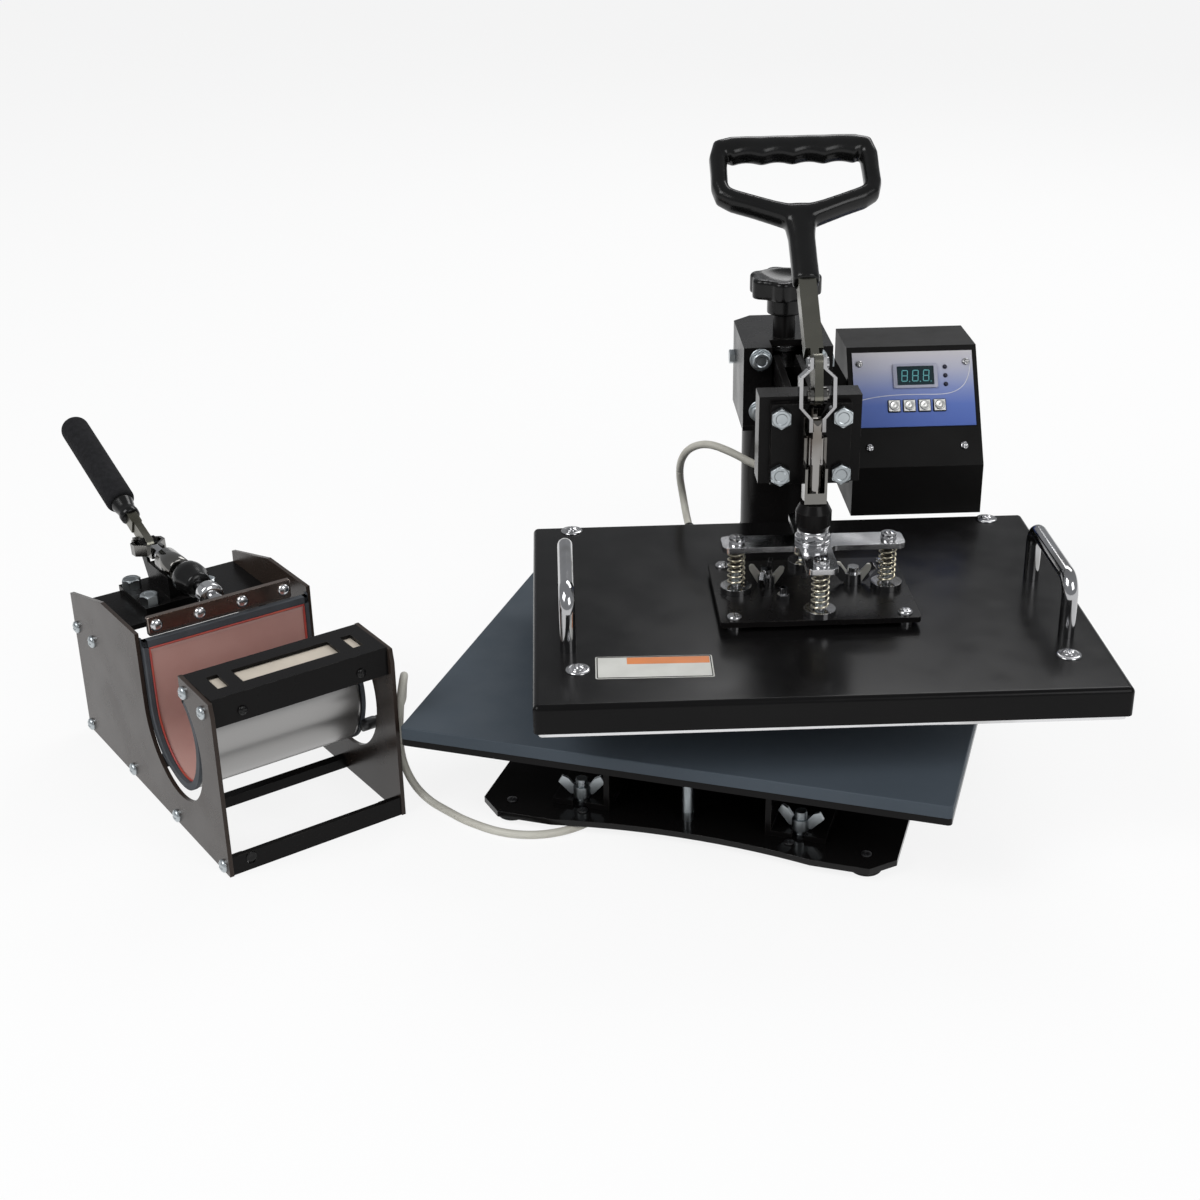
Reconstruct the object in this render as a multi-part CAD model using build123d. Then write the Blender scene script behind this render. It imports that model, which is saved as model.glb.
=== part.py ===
"""Swing-away flat heat press with its clip-on mug press attachment.

Millimetres, +Z up.  The origin is on the bench, under the middle of the set's footprint.
+X is to the operator's right and +Y points away from the operator.  The flat press, its
swinging head and the mug press are each drawn in a frame of their own and then set in place.
"""
from build123d import *
import math
import os

# ---------------------------------------------------------------- where the sub-assemblies stand
PRESS_X = 145.6           # swing axis from the middle of the footprint
PRESS_Y = 132.6
SWING_REST = 19.5         # degrees the head is swung to the right of the lower platen
MUG_X = PRESS_X - 283.0   # front left foot of the mug press
MUG_Y = PRESS_Y - 421.4
MUG_TURN = 52.8           # degrees the mug press is turned on the bench
CLEAR = 0.3               # gap left between pieces that move past one another
SEAT = 0.05               # gap round a pressed or bolted piece
RUN = 0.05                # radial gap of a running fit

# ---------------------------------------------------------------- base
FOOT_H = 6.6
FOOT_R = 11.0
FOOT_X = 127.0
FOOT_FRONT_Y = -291.0
FOOT_BACK_Y = 44.0
BASE_T = 4.5
BASE_HALF = 148.0
BASE_FRONT = -308.0
BASE_BACK = 66.0
BASE_CHAMFER = 16.0
WAIST_HALF = 92.0
WAIST_DEPTH = 9.0
BASE_TOP = FOOT_H + BASE_T
PLUG_SCREW_X = 74.0       # plugged holes for other attachments
FOOT_SCREW_R = 2.5
FOOT_SCREW_PROUD = 1.2

# ---------------------------------------------------------------- lower platen
PLATEN_W = 380.0
PLATEN_D = 290.0
PLATEN_T = 5.0
PAD_T = 9.0
PAD_TOP = 78.0
PLATEN_X = -5.0          # both platens sit a little left of the column's middle
REACH = 180.0             # swing axis to the plunger, and to the lower platen's middle
PLATEN_CORNER = 3.0
STAND_WALL = 4.0
STAND_HALF = 60.0
STAND_FRONT = -286.0
STAND_BACK = -80.0
STAND_FLANGE = 38.0
STAND_SLOT_W = 8.6
SLOT_RUN = 26.0
STUD_R = 4.0
STUD_X = 79.0
STUD_FRONT_Y = -277.0
STUD_BACK_Y = -96.0
STUD_H = 18.0
JACK_Y = -281.0
PLATEN_BOTTOM = PAD_TOP - PAD_T - PLATEN_T

# ---------------------------------------------------------------- column and swing bearing
POST_R = 31.4
POST_TOP = 122.0
POST_FLANGE_R = 52.0
POST_FLANGE_T = 8.0
POST_RIB_T = 6.0
POST_RIB_H = 52.0
POST_RIB_TOE = 14.0
POST_RIB_INSET = 2.0
SPINDLE_R = 20.0
SPINDLE_TOP = 205.0
WASHER_T = 2.3
BUSH_WALL = 3.0
BUSH_L = 22.0
SLEEVE_R = 31.0
CAP_R = 25.0
CAP_T = 4.0
CAP_BOLT_AF = 18.0
CAP_BOLT_H = 5.5

# ---------------------------------------------------------------- arm housing on the sleeve
HOUSING_HALF = 34.0
HOUSING_FRONT = -30.0
HOUSING_BACK = 60.0
HOUSING_BOTTOM = 217.0
HOUSING_TOP = 279.0
HOUSING_WALL = 4.0
HOUSING_ROOF = 5.0
HOUSING_CHAMFER = 14.0
SLEEVE_FLANGE_T = 4.0
ARM_SLOT_HALF = 12.5
ARM_NOTCH = 20.0
HOUSING_BOLT_R = 3.0
HOUSING_BOLT_AF = 10.0
HOUSING_BOLT_HEAD = 4.2
BOLT_WASHER_T = 1.4
HOUSING_BOLT_X = 21.0
HOUSING_BOLT_Z = (229.0, 270.0)
SIDE_SCREW_Y = 38.0
SIDE_SCREW_Z = 252.0

# ---------------------------------------------------------------- pressure screw and clamp arm
PRESSURE_DROP = 7.0       # how far the knob lowers the clamp arm
SCREW_R = 7.0
SCREW_BOTTOM = 221.0
BOSS_R = 8.6
BOSS_TOP = 297.0
COLLAR_R = 12.0
COLLAR_T = 3.6
KNOB_R = 28.0
KNOB_TOP = 327.0
KNOB_RIM = 15.0
KNOB_HUB_R = 13.5
KNOB_LOBES = 7
KNOB_LOBE_R = 8.0
KNOB_LOBE_DEPTH = 3.5
CARRIAGE_HALF = 25.0
CARRIAGE_FRONT = -22.0
CARRIAGE_BACK = 22.0
CARRIAGE_BOTTOM = 225.0
CARRIAGE_TOP = 261.0
RIB_T = 5.0
RIB_GAP = 12.0
BRACKET_FACE = -150.0
BRACKET_HALF = 36.0
BRACKET_D = 21.0
BRACKET_WALL = 5.0
BRACKET_BOTTOM = 216.0
BRACKET_TOP = 280.0
FLANGE_HALF = 28.0
FLANGE_T = 6.0
FLANGE_BOTTOM = 217.0
FLANGE_TOP = 276.0
CLAMP_BOLT_R = 4.0
CLAMP_BOLT_AF = 13.0
CLAMP_BOLT_HEAD = 5.3
CLAMP_BOLT_X = 21.5
CLAMP_BOLT_LOW = 225.0
CLAMP_BOLT_HIGH = 267.0

# ---------------------------------------------------------------- toggle
PIVOT_Z = 290.0           # lever pivot on the toggle body
CRANK = 22.0              # lever pivot to the links' upper pin
CRANK_REST = 13.0         # degrees the crank leans back when the press is open
LINK_L = 42.4
LEVER_TRAVEL = 135.0
LEVER_LEAN = 50.0         # degrees the lever leans back when the press is open
LEVER_HALF_T = 2.9
LEVER_BOSS_R = 6.5
LUG_GAP = 0.3
LUG_T = 2.5
LUG_R = 6.0
PIN_R = 2.5
PIN_HEAD_R = 4.0
PIN_HEAD_T = 1.5
LINK_T = 2.5
LINK_W = 9.0
LINK_BOW = 10.2           # how far the links stand out round the lever pivot
CHANNEL_HALF = 7.8
CHANNEL_WALL = 1.9
CHANNEL_FRONT = 7.0
CHANNEL_BACK = 8.0
CHANNEL_DEPTH = 6.6       # back of the cut the rod and the link's foot run in
CHANNEL_TOP = 259.0
CHANNEL_BOTTOM = 213.5
CHANNEL_WAIST = 239.5     # above it the links pass in front of the channel's sides
CHANNEL_STEP = 2.2
WEB_HALF = 5.0
LUG_LOW = -22.0           # foot of the lugs below the pivot
LINK_NECK = 4.5           # straight end of a link beyond its pin
LINK_SHOULDER = 12.5      # where a link has reached its full bow
LINK_TOP_NECK = 3.0       # the same at the upper pin, where the bow starts sooner
LINK_TOP_SHOULDER = 9.5
FLAT_L = 9.0              # rod's flats below the lower pin
STEM_START = 34.0
STEM_HALF = 6.2
STEM_DEPTH = 13.0
RING_H = 8.0
ROD_R = 5.0
FLAT_HALF = 3.0
STEM_W = 20.0
GRIP_END = 220.0          # lever pivot to the top of the grip
GRIP_T = 20.0
GRIP_BAR = 22.0
GRIP_HALF_TOP = 56.0
GRIP_HALF_LOW = 61.0
GRIP_LOW = 163.0
GRIP_NECK = 140.0
GRIP_STEM = 91.0
WINDOW_HALF = 46.0
WINDOW_LOW = 167.0
WINDOW_CORNER = 180.0
WINDOW_NECK_HALF = 16.0
GRIP_SOCKET = 22.0        # how far the lever's stem goes into the grip
GRIP_EDGE_R = 5.0
FINGERS = 4
FINGER_DROP = 8.0

# ---------------------------------------------------------------- heater head
GAP_CLOSED = 0.3          # heat plate above the pad with the lever and the knob both down
COVER_W = 386.0
COVER_D = 298.0
HEATER_GAP = 0.8          # heater cover's back to the column
COVER_H = 20.0
COVER_WALL = 1.5
COVER_TOP = 138.4
COVER_EDGE_R = 4.0
HEAT_PLATE_W = 380.0
HEAT_PLATE_D = 292.0
ELEMENT_T = 6.0
ELEMENT_INSET = 24.0
ELEMENT_BEND = 27.0
ELEMENT_PITCH = 46.0
MOUNT_W = 138.0
MOUNT_D = 104.0
MOUNT_T = 4.0
MOUNT_GAP = 4.0
SPIDER_TOP = 184.0
SPIDER_T = 4.0
SPIDER_ARM_W = 22.0
SPIDER_REACH = 64.0
SPRING_X = 53.5
SPRING_Y = 42.0
SPRING_R = 6.5
SPRING_WIRE = 1.8
SPRING_NUT_R = 11.0
SPRING_NUT_T = 4.6
SPRING_BOLT_R = 3.0
SPRING_HEAD_R = 5.5
SPRING_HEAD_T = 4.0
ROD_NUT_AF = 17.0
ROD_NUT_H = 8.0
NOSE_R = 12.6
NOSE_TOP = 212.5
HANDLE_X = 169.0
HANDLE_FRONT = -250.0
HANDLE_BACK = -156.0
HANDLE_H = 46.0
HANDLE_R = 5.5
COVER_SCREW_R = 2.4
DISH_R = 6.6              # dished washer under a cover screw
DISH_T = 1.6
COVER_SCREW_X = 163.0
COVER_SCREW_FRONT = -280.0
COVER_SCREW_BACK = -42.0
MOUNT_SCREW_X = 59.0
MOUNT_SCREW_Y = 44.0
MOUNT_WING_X = 31.0
MOUNT_WING_Y = 8.0        # behind the plunger
EARTH_STUD_X = -22.0
EARTH_STUD_Y = -16.0
GLAND_X = -74.0
GLAND_L = 14.0
GLAND_R = 4.6
GLAND_HEAD_R = 7.0
GLAND_NUT = 4.5

# ---------------------------------------------------------------- control box
BOX_LEFT = 58.0
BOX_RIGHT = 163.0
BOX_FRONT = -2.0
BOX_BROW = 53.0           # top edge of the sloping front
BOX_BACK = 108.0
BOX_TOP = 252.0
BOX_BEND = 169.0
BOX_BOTTOM = 128.0
BOX_WALL = 1.6
PANEL_W = 97.0
PANEL_H = 62.0
PANEL_T = 1.2
PANEL_DROP = 5.0          # panel's top edge below the brow
DISPLAY_W = 33.0
DISPLAY_H = 19.0
DISPLAY_X = 1.5
DISPLAY_DROP = 20.5       # centre of the display below the panel's top edge
BUTTON_SIZE = 9.0
BUTTON_PITCH = 12.2
BUTTON_DROP = 45.0
BUTTON_PROUD = 1.8
BUTTON_TRAVEL = 1.2
LAMP_X = 26.0
LAMP_PITCH = 7.2
LAMP_R = 1.3
PANEL_SCREW_R = 1.5
PANEL_SCREW_X = 43.0
PANEL_SCREW_DROP = 9.5
BOARD_DROP = 8.0          # board's face behind the panel's back
BOARD_T = 1.6
BUTTON_STEM_R = 3.2
STRAP_Y = 40.0            # plate that carries the box
STRAP_T = 4.0
STRAP_FOOT = 34.0
STRAP_TOP = 262.0
STRAP_LOW = 222.0
STRAP_BOX_TOP = 228.0     # where the plate meets the box's side
STRAP_BOX_LOW = 146.0
STRAP_BOLT_Y = 18.0
STRAP_BOLT_Z = (232.0, 252.0)
BOX_SCREW_X = 38.0        # screws through the sloping front below the panel
BOX_SCREW_DROP = 78.4
GROMMET_R = 5.0
GROMMET_Y = 22.0
GROMMET_Z = 158.0
GROMMET_REACH = 6.0
GROMMET_LIP = 1.6
ROCKER_X = 138.0
ROCKER_Z = 152.0
ROCKER_W = 15.0
ROCKER_H = 21.0
ROCKER_PROUD = 2.2
ROCKER_DEPTH = 7.0
ROCKER_PIVOT_IN = 3.5     # rocker's pivot inside the back plate's face
ROCKER_RIM = 2.0
ROCKER_WELL = 12.0
ROCKER_FRAME_DEPTH = 18.0
INLET_X = 92.0
INLET_Z = 152.0
INLET_HALF_W = 14.0
INLET_HALF_H = 10.0
INLET_DEPTH = 24.0
INLET_MOUTH = 15.0
INLET_FLANGE_HALF = 24.0
INLET_FLANGE_T = 2.5
INLET_PIN_PITCH = 6.0

# ---------------------------------------------------------------- mug press
MUG_W = 136.0
MUG_PLATE_T = 3.0
MUG_L = 264.0
MUG_TOP = 134.0
MUG_EAR_TIP = 117.0
MUG_EAR_Y = 193.0
CRADLE_Y = 77.0
CRADLE_Z = 78.0
CRADLE_R = 50.0
TOWER_BACK = 51.0
BAR_W = 8.0
BAR_H = 8.0
FRONT_BAR_H = 14.0
FRONT_BAR_T = 4.0
WRAP_R = 46.0             # outside of the stainless sheet
SHEET_T = 1.0
LINING_T = 3.4
WRAP_X0 = 6.0
WRAP_X1 = 128.0
WRAP_FRONT_ANGLE = 140.0
WRAP_BACK_TOP = 126.0
STRIP_X0 = 10.0
STRIP_X1 = 120.0
STRIP_T = 4.0
STRIP_BOTTOM = 130.0
STRIP_TOP = 144.0
MUG_AXIS_X = MUG_W / 2
MUG_AXIS_Z = 137.0
MUG_PIN_Y = 269.0         # lever pivot
MUG_CRANK = 14.0
MUG_CRANK_REST = 13.0
MUG_LINK_L = 30.0
MUG_LEAN = 22.0           # degrees the open lever stands above level
MUG_GRIP_START = 52.0
MUG_GRIP_END = 158.0
MUG_GRIP_R = 11.5
MUG_DECK_TOP = 108.0
MUG_DECK_T = 4.0
MUG_DECK_FRONT = 196.0
MUG_DECK_LUG_LOW = 80.0
MUG_DECK_SCREW_Z = 90.0
MUG_BAR_FRONT = 9.0
MUG_BAR_Y = (89.0, 171.0, 258.0)
MUG_HOLE_X = 17.0
MUG_SCREW_R = 2.5
MUG_SCREW_L = 9.0
TROUGH_FRONT = 4.0        # channel across the front of the mug press
TROUGH_BACK = 50.0
TROUGH_T = 2.0
TROUGH_FRONT_H = 21.0
TROUGH_BACK_H = 15.0
TROUGH_SLOT_X = 14.0
TROUGH_SLOT_IN = 13.0
TROUGH_TAB_X = 27.0
TROUGH_TAB_HALF = 5.0
WRAP_Y = 79.0
WRAP_Z = 80.0
STRIP_BACK = 129.0
STRIP_SCREW_IN = 6.0
MUG_GUIDE_R = 9.0
MUG_GUIDE_FRONT = 205.0
MUG_GUIDE_BACK = 262.0
MUG_TUBE_BACK = 233.0
MUG_TOWER_HALF = 8.0
MUG_BASE_HALF = 30.0
MUG_BOSS_R = 6.5
MUG_STEM_START = 22.0
MUG_STEM_HALF = 4.0
MUG_STEM_DEPTH = 11.0
MUG_NUT_FRONT = 148.0
MUG_NOSE_FRONT = 170.0
MUG_NOSE_BACK = 195.0
BOOT_ANGLE = 214.0
BOOT_R = 4.6
BOOT_OUT = 10.0
BOOT_RUN = 12.0           # lead's straight run out of the boot

# ---------------------------------------------------------------- leads
LEAD_R = 2.9
HEATER_LEAD_R = 3.0
LEAD_Z = 3.1              # a lead lying on the bench
PLUG_R = 7.5
PLUG_L = 38.0
PLUG_NECK = 6.0
PLUG_SLEEVE = 1.0         # neck's wall round the lead
PLUG_WALL = 1.2
PLUG_MOUTH = 10.0
PLUG_PIN_R = 0.8
PLUG_PIN_RING = 3.4
PLUG_Z = 7.9              # a plug lying on the bench
COIL_MID_R = 34.0
COIL_BAND = 2.1           # radial and vertical half thickness of the wound coil, in lead diameters
COIL_X = 16.0
COIL_Y = 132.0

NODES = {}


# ---------------------------------------------------------------- drawing helpers
def block(x, y, z):
    """Box between two limits on each axis."""
    size = (x[1] - x[0], y[1] - y[0], z[1] - z[0])
    return Pos((x[0] + x[1]) / 2, (y[0] + y[1]) / 2, (z[0] + z[1]) / 2) * Box(*size)


def rod(radius, start, end):
    """Round bar from one point to another."""
    run = Vector(*end) - Vector(*start)
    return extrude(Plane(origin=start, z_dir=run) * Circle(radius), run.length)


def disc(radius, at, z0, z1):
    return rod(radius, (at[0], at[1], z0), (at[0], at[1], z1))


def pipe(outer, inner, at, z0, z1):
    return disc(outer, at, z0, z1) - disc(inner, at, z0 - 1, z1 + 1)


def hexagon(across_flats, at, z0, z1):
    face = Pos(at[0], at[1], z0) * RegularPolygon(across_flats / math.sqrt(3), 6)
    return extrude(face, z1 - z0)


def pipe_hexagon(across_flats, bore, z0, z1):
    return hexagon(across_flats, (0, 0), z0, z1) - disc(bore, (0, 0), z0 - 1, z1 + 1)


def side(face, x0, x1):
    """Prism along X from a face drawn in (y, z)."""
    return extrude(Plane(origin=(x0, 0, 0), x_dir=(0, 1, 0), z_dir=(1, 0, 0)) * face, x1 - x0)


def outline(points):
    return make_face(Polyline(*points, close=True))


def union(pieces):
    whole = pieces[0]
    for piece in pieces[1:]:
        whole = whole + piece
    return whole


def add(name, place, *pieces):
    """Keep the solids of one node, set in their place."""
    solids = [place * solid for piece in pieces for solid in piece.solids()]
    NODES[name] = Compound(label=name, children=solids)


PRESS = Location((PRESS_X, PRESS_Y, 0))
HEAD = Location((PRESS_X, PRESS_Y, 0), (0, 0, SWING_REST))
MUG = Location((MUG_X, MUG_Y, 0), (0, 0, MUG_TURN))


# ---------------------------------------------------------------- fasteners
def wing_nut(at, z, turn=0.0):
    """Hub with two upswept wings."""
    hub = pipe(6.2, STUD_R + SEAT, (0, 0), 0, 8.5)
    wing = outline([(5.0, 2.0), (8.0, 1.5), (16.5, 11.0), (13.5, 16.0), (9.5, 14.0), (5.0, 8.0)])
    right = Plane(origin=(0, 1.3, 0), x_dir=(1, 0, 0), z_dir=(0, -1, 0)) * wing
    right = extrude(right, 2.6)
    wings = right + Rot(0, 0, 180) * right
    return Pos(at[0], at[1], z) * Rot(0, 0, turn) * (hub + (wings - disc(5.2, (0, 0), -1, 20)))


def hex_bolt(at, z_under, length, radius, across_flats, head):
    """Bolt pointing down, its head standing on z_under."""
    return hexagon(across_flats, at, z_under, z_under + head) + disc(radius, at, z_under - length, z_under)


def dome_screw(at, z_under, length, radius, head_r, head_h):
    head = disc(head_r, at, z_under, z_under + head_h)
    head = fillet(head.edges().sort_by(Axis.Z)[-1], head_h * 0.6)
    return head + disc(radius, at, z_under - length, z_under)


def toward(direction, at):
    """Location that turns a screw drawn along +Z to face a direction."""
    return Plane(origin=at, z_dir=direction).location


# ---------------------------------------------------------------- base
def base_outline():
    front = ThreePointArc((-WAIST_HALF, BASE_FRONT), (0, BASE_FRONT + WAIST_DEPTH), (WAIST_HALF, BASE_FRONT))
    corner = BASE_HALF - BASE_CHAMFER
    rest = Polyline(
        (WAIST_HALF, BASE_FRONT), (corner, BASE_FRONT), (BASE_HALF, BASE_FRONT + BASE_CHAMFER),
        (BASE_HALF, BASE_BACK - BASE_CHAMFER), (corner, BASE_BACK), (-corner, BASE_BACK),
        (-BASE_HALF, BASE_BACK - BASE_CHAMFER), (-BASE_HALF, BASE_FRONT + BASE_CHAMFER),
        (-corner, BASE_FRONT), (-WAIST_HALF, BASE_FRONT),
    )
    return make_face(front + rest)


def foot_places():
    return [(x, y) for x in (-FOOT_X, FOOT_X) for y in (FOOT_FRONT_Y, FOOT_BACK_Y)]


def plug_places():
    return [(-PLUG_SCREW_X, FOOT_FRONT_Y), (PLUG_SCREW_X, FOOT_FRONT_Y)]


def stud_places():
    return [(x, y) for x in (-STUD_X, STUD_X) for y in (STUD_FRONT_Y, STUD_BACK_Y)]


def make_base():
    plate = Pos(0, 0, FOOT_H) * extrude(base_outline(), BASE_T)
    for at in foot_places() + plug_places():
        plate -= disc(FOOT_SCREW_R + SEAT, at, FOOT_H - 1, BASE_TOP + 1)
    for at in stud_places() + [(0, JACK_Y)]:
        plate -= disc(STUD_R + SEAT, at, FOOT_H - 1, BASE_TOP + 1)
    plate -= disc(SPINDLE_R + SEAT, (0, 0), FOOT_H - 1, BASE_TOP + 1)
    add("base_plate", PRESS, plate)

    recess = 3.0
    feet = []
    screws = []
    for at in foot_places():
        foot = disc(FOOT_R, at, 0, FOOT_H)
        foot = fillet(foot.edges().sort_by(Axis.Z)[0], 1.5)
        foot -= disc(FOOT_SCREW_R * 2 + SEAT, at, -1, recess)
        feet.append(foot - disc(FOOT_SCREW_R + SEAT, at, -1, FOOT_H + 1))
        head = disc(FOOT_SCREW_R * 2, at, recess - 2.0, recess)
        screws.append(head + disc(FOOT_SCREW_R, at, recess, BASE_TOP + FOOT_SCREW_PROUD))
    for at in plug_places():
        screws.append(disc(FOOT_SCREW_R, at, FOOT_H, BASE_TOP + FOOT_SCREW_PROUD))
    add("rubber_feet", PRESS, *feet)

    for at in stud_places():
        screws.append(disc(STUD_R, at, FOOT_H, BASE_TOP + STUD_H))
    jack_top = PLATEN_BOTTOM - STAND_WALL - SEAT
    jack = disc(STUD_R, (0, JACK_Y), FOOT_H, jack_top)
    jack += hexagon(CLAMP_BOLT_AF, (0, JACK_Y), jack_top - CLAMP_BOLT_HEAD, jack_top)
    screws.append(jack)
    nut_z = BASE_TOP + STAND_WALL + SEAT
    nuts = [wing_nut(at, nut_z, 12 if at[0] < 0 else -9) for at in stud_places()]
    add("base_fasteners", PRESS, *screws, *nuts)


def make_stand():
    """Bent bracket that carries the lower platen; its open slots slide on to the base studs."""
    foot = STAND_HALF + STAND_FLANGE
    low, high = BASE_TOP, PLATEN_BOTTOM
    half = [(0, high), (STAND_HALF, high), (STAND_HALF, low + STAND_WALL), (foot, low + STAND_WALL),
            (foot, low), (STAND_HALF - STAND_WALL, low), (STAND_HALF - STAND_WALL, high - STAND_WALL),
            (0, high - STAND_WALL)]
    face = Plane(origin=(0, STAND_FRONT, 0), x_dir=(1, 0, 0), z_dir=(0, -1, 0)) * outline(half)
    right = extrude(face, -(STAND_BACK - STAND_FRONT))
    stand = right + mirror(right, Plane.YZ)
    slot = STAND_SLOT_W / 2
    for x, y in stud_places():
        stand -= block((x - slot, x + slot), (y - SLOT_RUN, y), (low - 1, low + STAND_WALL + 1))
        stand -= disc(slot, (x, y), low - 1, low + STAND_WALL + 1)
    return stand


def make_lower_platen():
    centre = Pos(PLATEN_X, -REACH, 0)
    plate = RectangleRounded(PLATEN_W, PLATEN_D, PLATEN_CORNER)
    add("lower_platen", PRESS, centre * Pos(0, 0, PLATEN_BOTTOM) * extrude(plate, PLATEN_T))
    pad = extrude(plate, PAD_T)
    pad = fillet(pad.edges().group_by(Axis.Z)[-1], 1.0)
    add("silicone_pad", PRESS, centre * Pos(0, 0, PAD_TOP - PAD_T) * pad)
    add("platen_stand", PRESS, make_stand())


# ---------------------------------------------------------------- column
def make_column():
    """Tube on the base, standing in a ribbed foot."""
    tube = pipe(POST_R, SPINDLE_R + SEAT, (0, 0), BASE_TOP, POST_TOP)
    foot = disc(POST_FLANGE_R, (0, 0), BASE_TOP, BASE_TOP + POST_FLANGE_T)
    reach = POST_FLANGE_R - POST_RIB_INSET
    rib = outline([(0, BASE_TOP + 1), (reach, BASE_TOP + 1), (reach, BASE_TOP + POST_RIB_TOE),
                   (POST_R, BASE_TOP + POST_RIB_H), (0, BASE_TOP + POST_RIB_H)])
    rib = Plane(origin=(0, POST_RIB_T / 2, 0), x_dir=(1, 0, 0), z_dir=(0, -1, 0)) * extrude(rib, POST_RIB_T)
    for turn in (45, 135, 225, 315):
        foot += Rot(0, 0, turn) * rib
    foot -= disc(POST_R + SEAT, (0, 0), BASE_TOP - 1, POST_TOP)
    add("column_post", PRESS, tube, foot)

    spindle = disc(SPINDLE_R, (0, 0), FOOT_H, SPINDLE_TOP)
    cap = disc(CAP_R, (0, 0), SPINDLE_TOP, SPINDLE_TOP + CAP_T)
    bolt = hexagon(CAP_BOLT_AF, (0, 0), SPINDLE_TOP + CAP_T, SPINDLE_TOP + CAP_T + CAP_BOLT_H)
    add("swing_spindle", PRESS, spindle + cap + bolt)


def make_sleeve():
    """Tube that turns on the spindle, with the housing's floor plate on top."""
    bottom = POST_TOP + WASHER_T + CLEAR
    bush_r = SPINDLE_R + RUN + BUSH_WALL
    sleeve = disc(SLEEVE_R, (0, 0), bottom, HOUSING_BOTTOM - SLEEVE_FLANGE_T)
    floor = block((-HOUSING_HALF, HOUSING_HALF), (HOUSING_FRONT, HOUSING_BACK),
                  (HOUSING_BOTTOM - SLEEVE_FLANGE_T, HOUSING_BOTTOM))
    back = floor.edges().filter_by(Axis.Z).group_by(Axis.Y)[-1]
    sleeve += chamfer(back, HOUSING_CHAMFER)
    sleeve -= disc(bush_r + SEAT, (0, 0), bottom - 1, SPINDLE_TOP - CLEAR)
    sleeve -= disc(CAP_R + CLEAR, (0, 0), SPINDLE_TOP - CLEAR - SEAT, HOUSING_BOTTOM + 1)
    add("swing_sleeve", HEAD, sleeve)

    low = pipe(bush_r, SPINDLE_R + RUN, (0, 0), bottom, bottom + BUSH_L)
    top = pipe(bush_r, SPINDLE_R + RUN, (0, 0), SPINDLE_TOP - CLEAR - BUSH_L, SPINDLE_TOP - CLEAR - SEAT)
    washer = pipe(POST_R - 1, SPINDLE_R + RUN, (0, 0), bottom - WASHER_T, bottom - SEAT)
    add("swing_bushes", HEAD, low, top, washer)


def housing_bolt(grip, washer=0.0):
    return hex_bolt((0, 0), washer, washer + grip, HOUSING_BOLT_R, HOUSING_BOLT_AF, HOUSING_BOLT_HEAD)


def make_housing():
    outer = block((-HOUSING_HALF, HOUSING_HALF), (HOUSING_FRONT, HOUSING_BACK), (HOUSING_BOTTOM, HOUSING_TOP))
    outer = chamfer(outer.edges().filter_by(Axis.Z).group_by(Axis.Y)[-1], HOUSING_CHAMFER)
    inner = block((-HOUSING_HALF + HOUSING_WALL, HOUSING_HALF - HOUSING_WALL),
                  (HOUSING_FRONT + HOUSING_WALL, HOUSING_BACK - HOUSING_WALL),
                  (HOUSING_BOTTOM - 1, HOUSING_TOP - HOUSING_ROOF))
    inner = chamfer(inner.edges().filter_by(Axis.Z).group_by(Axis.Y)[-1], HOUSING_CHAMFER - HOUSING_WALL / 2)
    shell = outer - inner
    shell -= block((-ARM_SLOT_HALF, ARM_SLOT_HALF), (HOUSING_FRONT - 1, HOUSING_FRONT + HOUSING_WALL + 1),
                   (HOUSING_BOTTOM - 1, HOUSING_TOP + 1))
    notch_back = HOUSING_FRONT + ARM_NOTCH
    shell -= block((-ARM_SLOT_HALF, ARM_SLOT_HALF), (HOUSING_FRONT - 1, notch_back),
                   (HOUSING_TOP - HOUSING_ROOF - 1, HOUSING_TOP + 1))
    shell -= disc(SCREW_R + RUN, (0, 0), HOUSING_TOP - HOUSING_ROOF - 1, HOUSING_TOP + 1)
    shell += pipe(BOSS_R, SCREW_R + RUN, (0, 0), HOUSING_TOP - HOUSING_ROOF, BOSS_TOP)
    bolts = []
    for x in (-HOUSING_BOLT_X, HOUSING_BOLT_X):
        for z in HOUSING_BOLT_Z:
            place = toward((0, -1, 0), (x, HOUSING_FRONT, z))
            shell -= place * disc(HOUSING_BOLT_R + SEAT, (0, 0), -HOUSING_WALL - 1, 1)
            washer = pipe(HOUSING_BOLT_R * 2.1, HOUSING_BOLT_R, (0, 0), 0, BOLT_WASHER_T)
            bolts.append(place * (washer + housing_bolt(HOUSING_WALL, BOLT_WASHER_T)))
    left = toward((-1, 0, 0), (-HOUSING_HALF, SIDE_SCREW_Y, SIDE_SCREW_Z))
    shell -= left * disc(HOUSING_BOLT_R + SEAT, (0, 0), -HOUSING_WALL - 1, 1)
    bolts.append(left * housing_bolt(HOUSING_WALL))
    for y, z in strap_bolt_places():
        shell -= rod(HOUSING_BOLT_R + SEAT, (HOUSING_HALF - HOUSING_WALL - 1, y, z), (HOUSING_HALF + 1, y, z))
    add("arm_housing", HEAD, shell)
    return bolts


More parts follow.
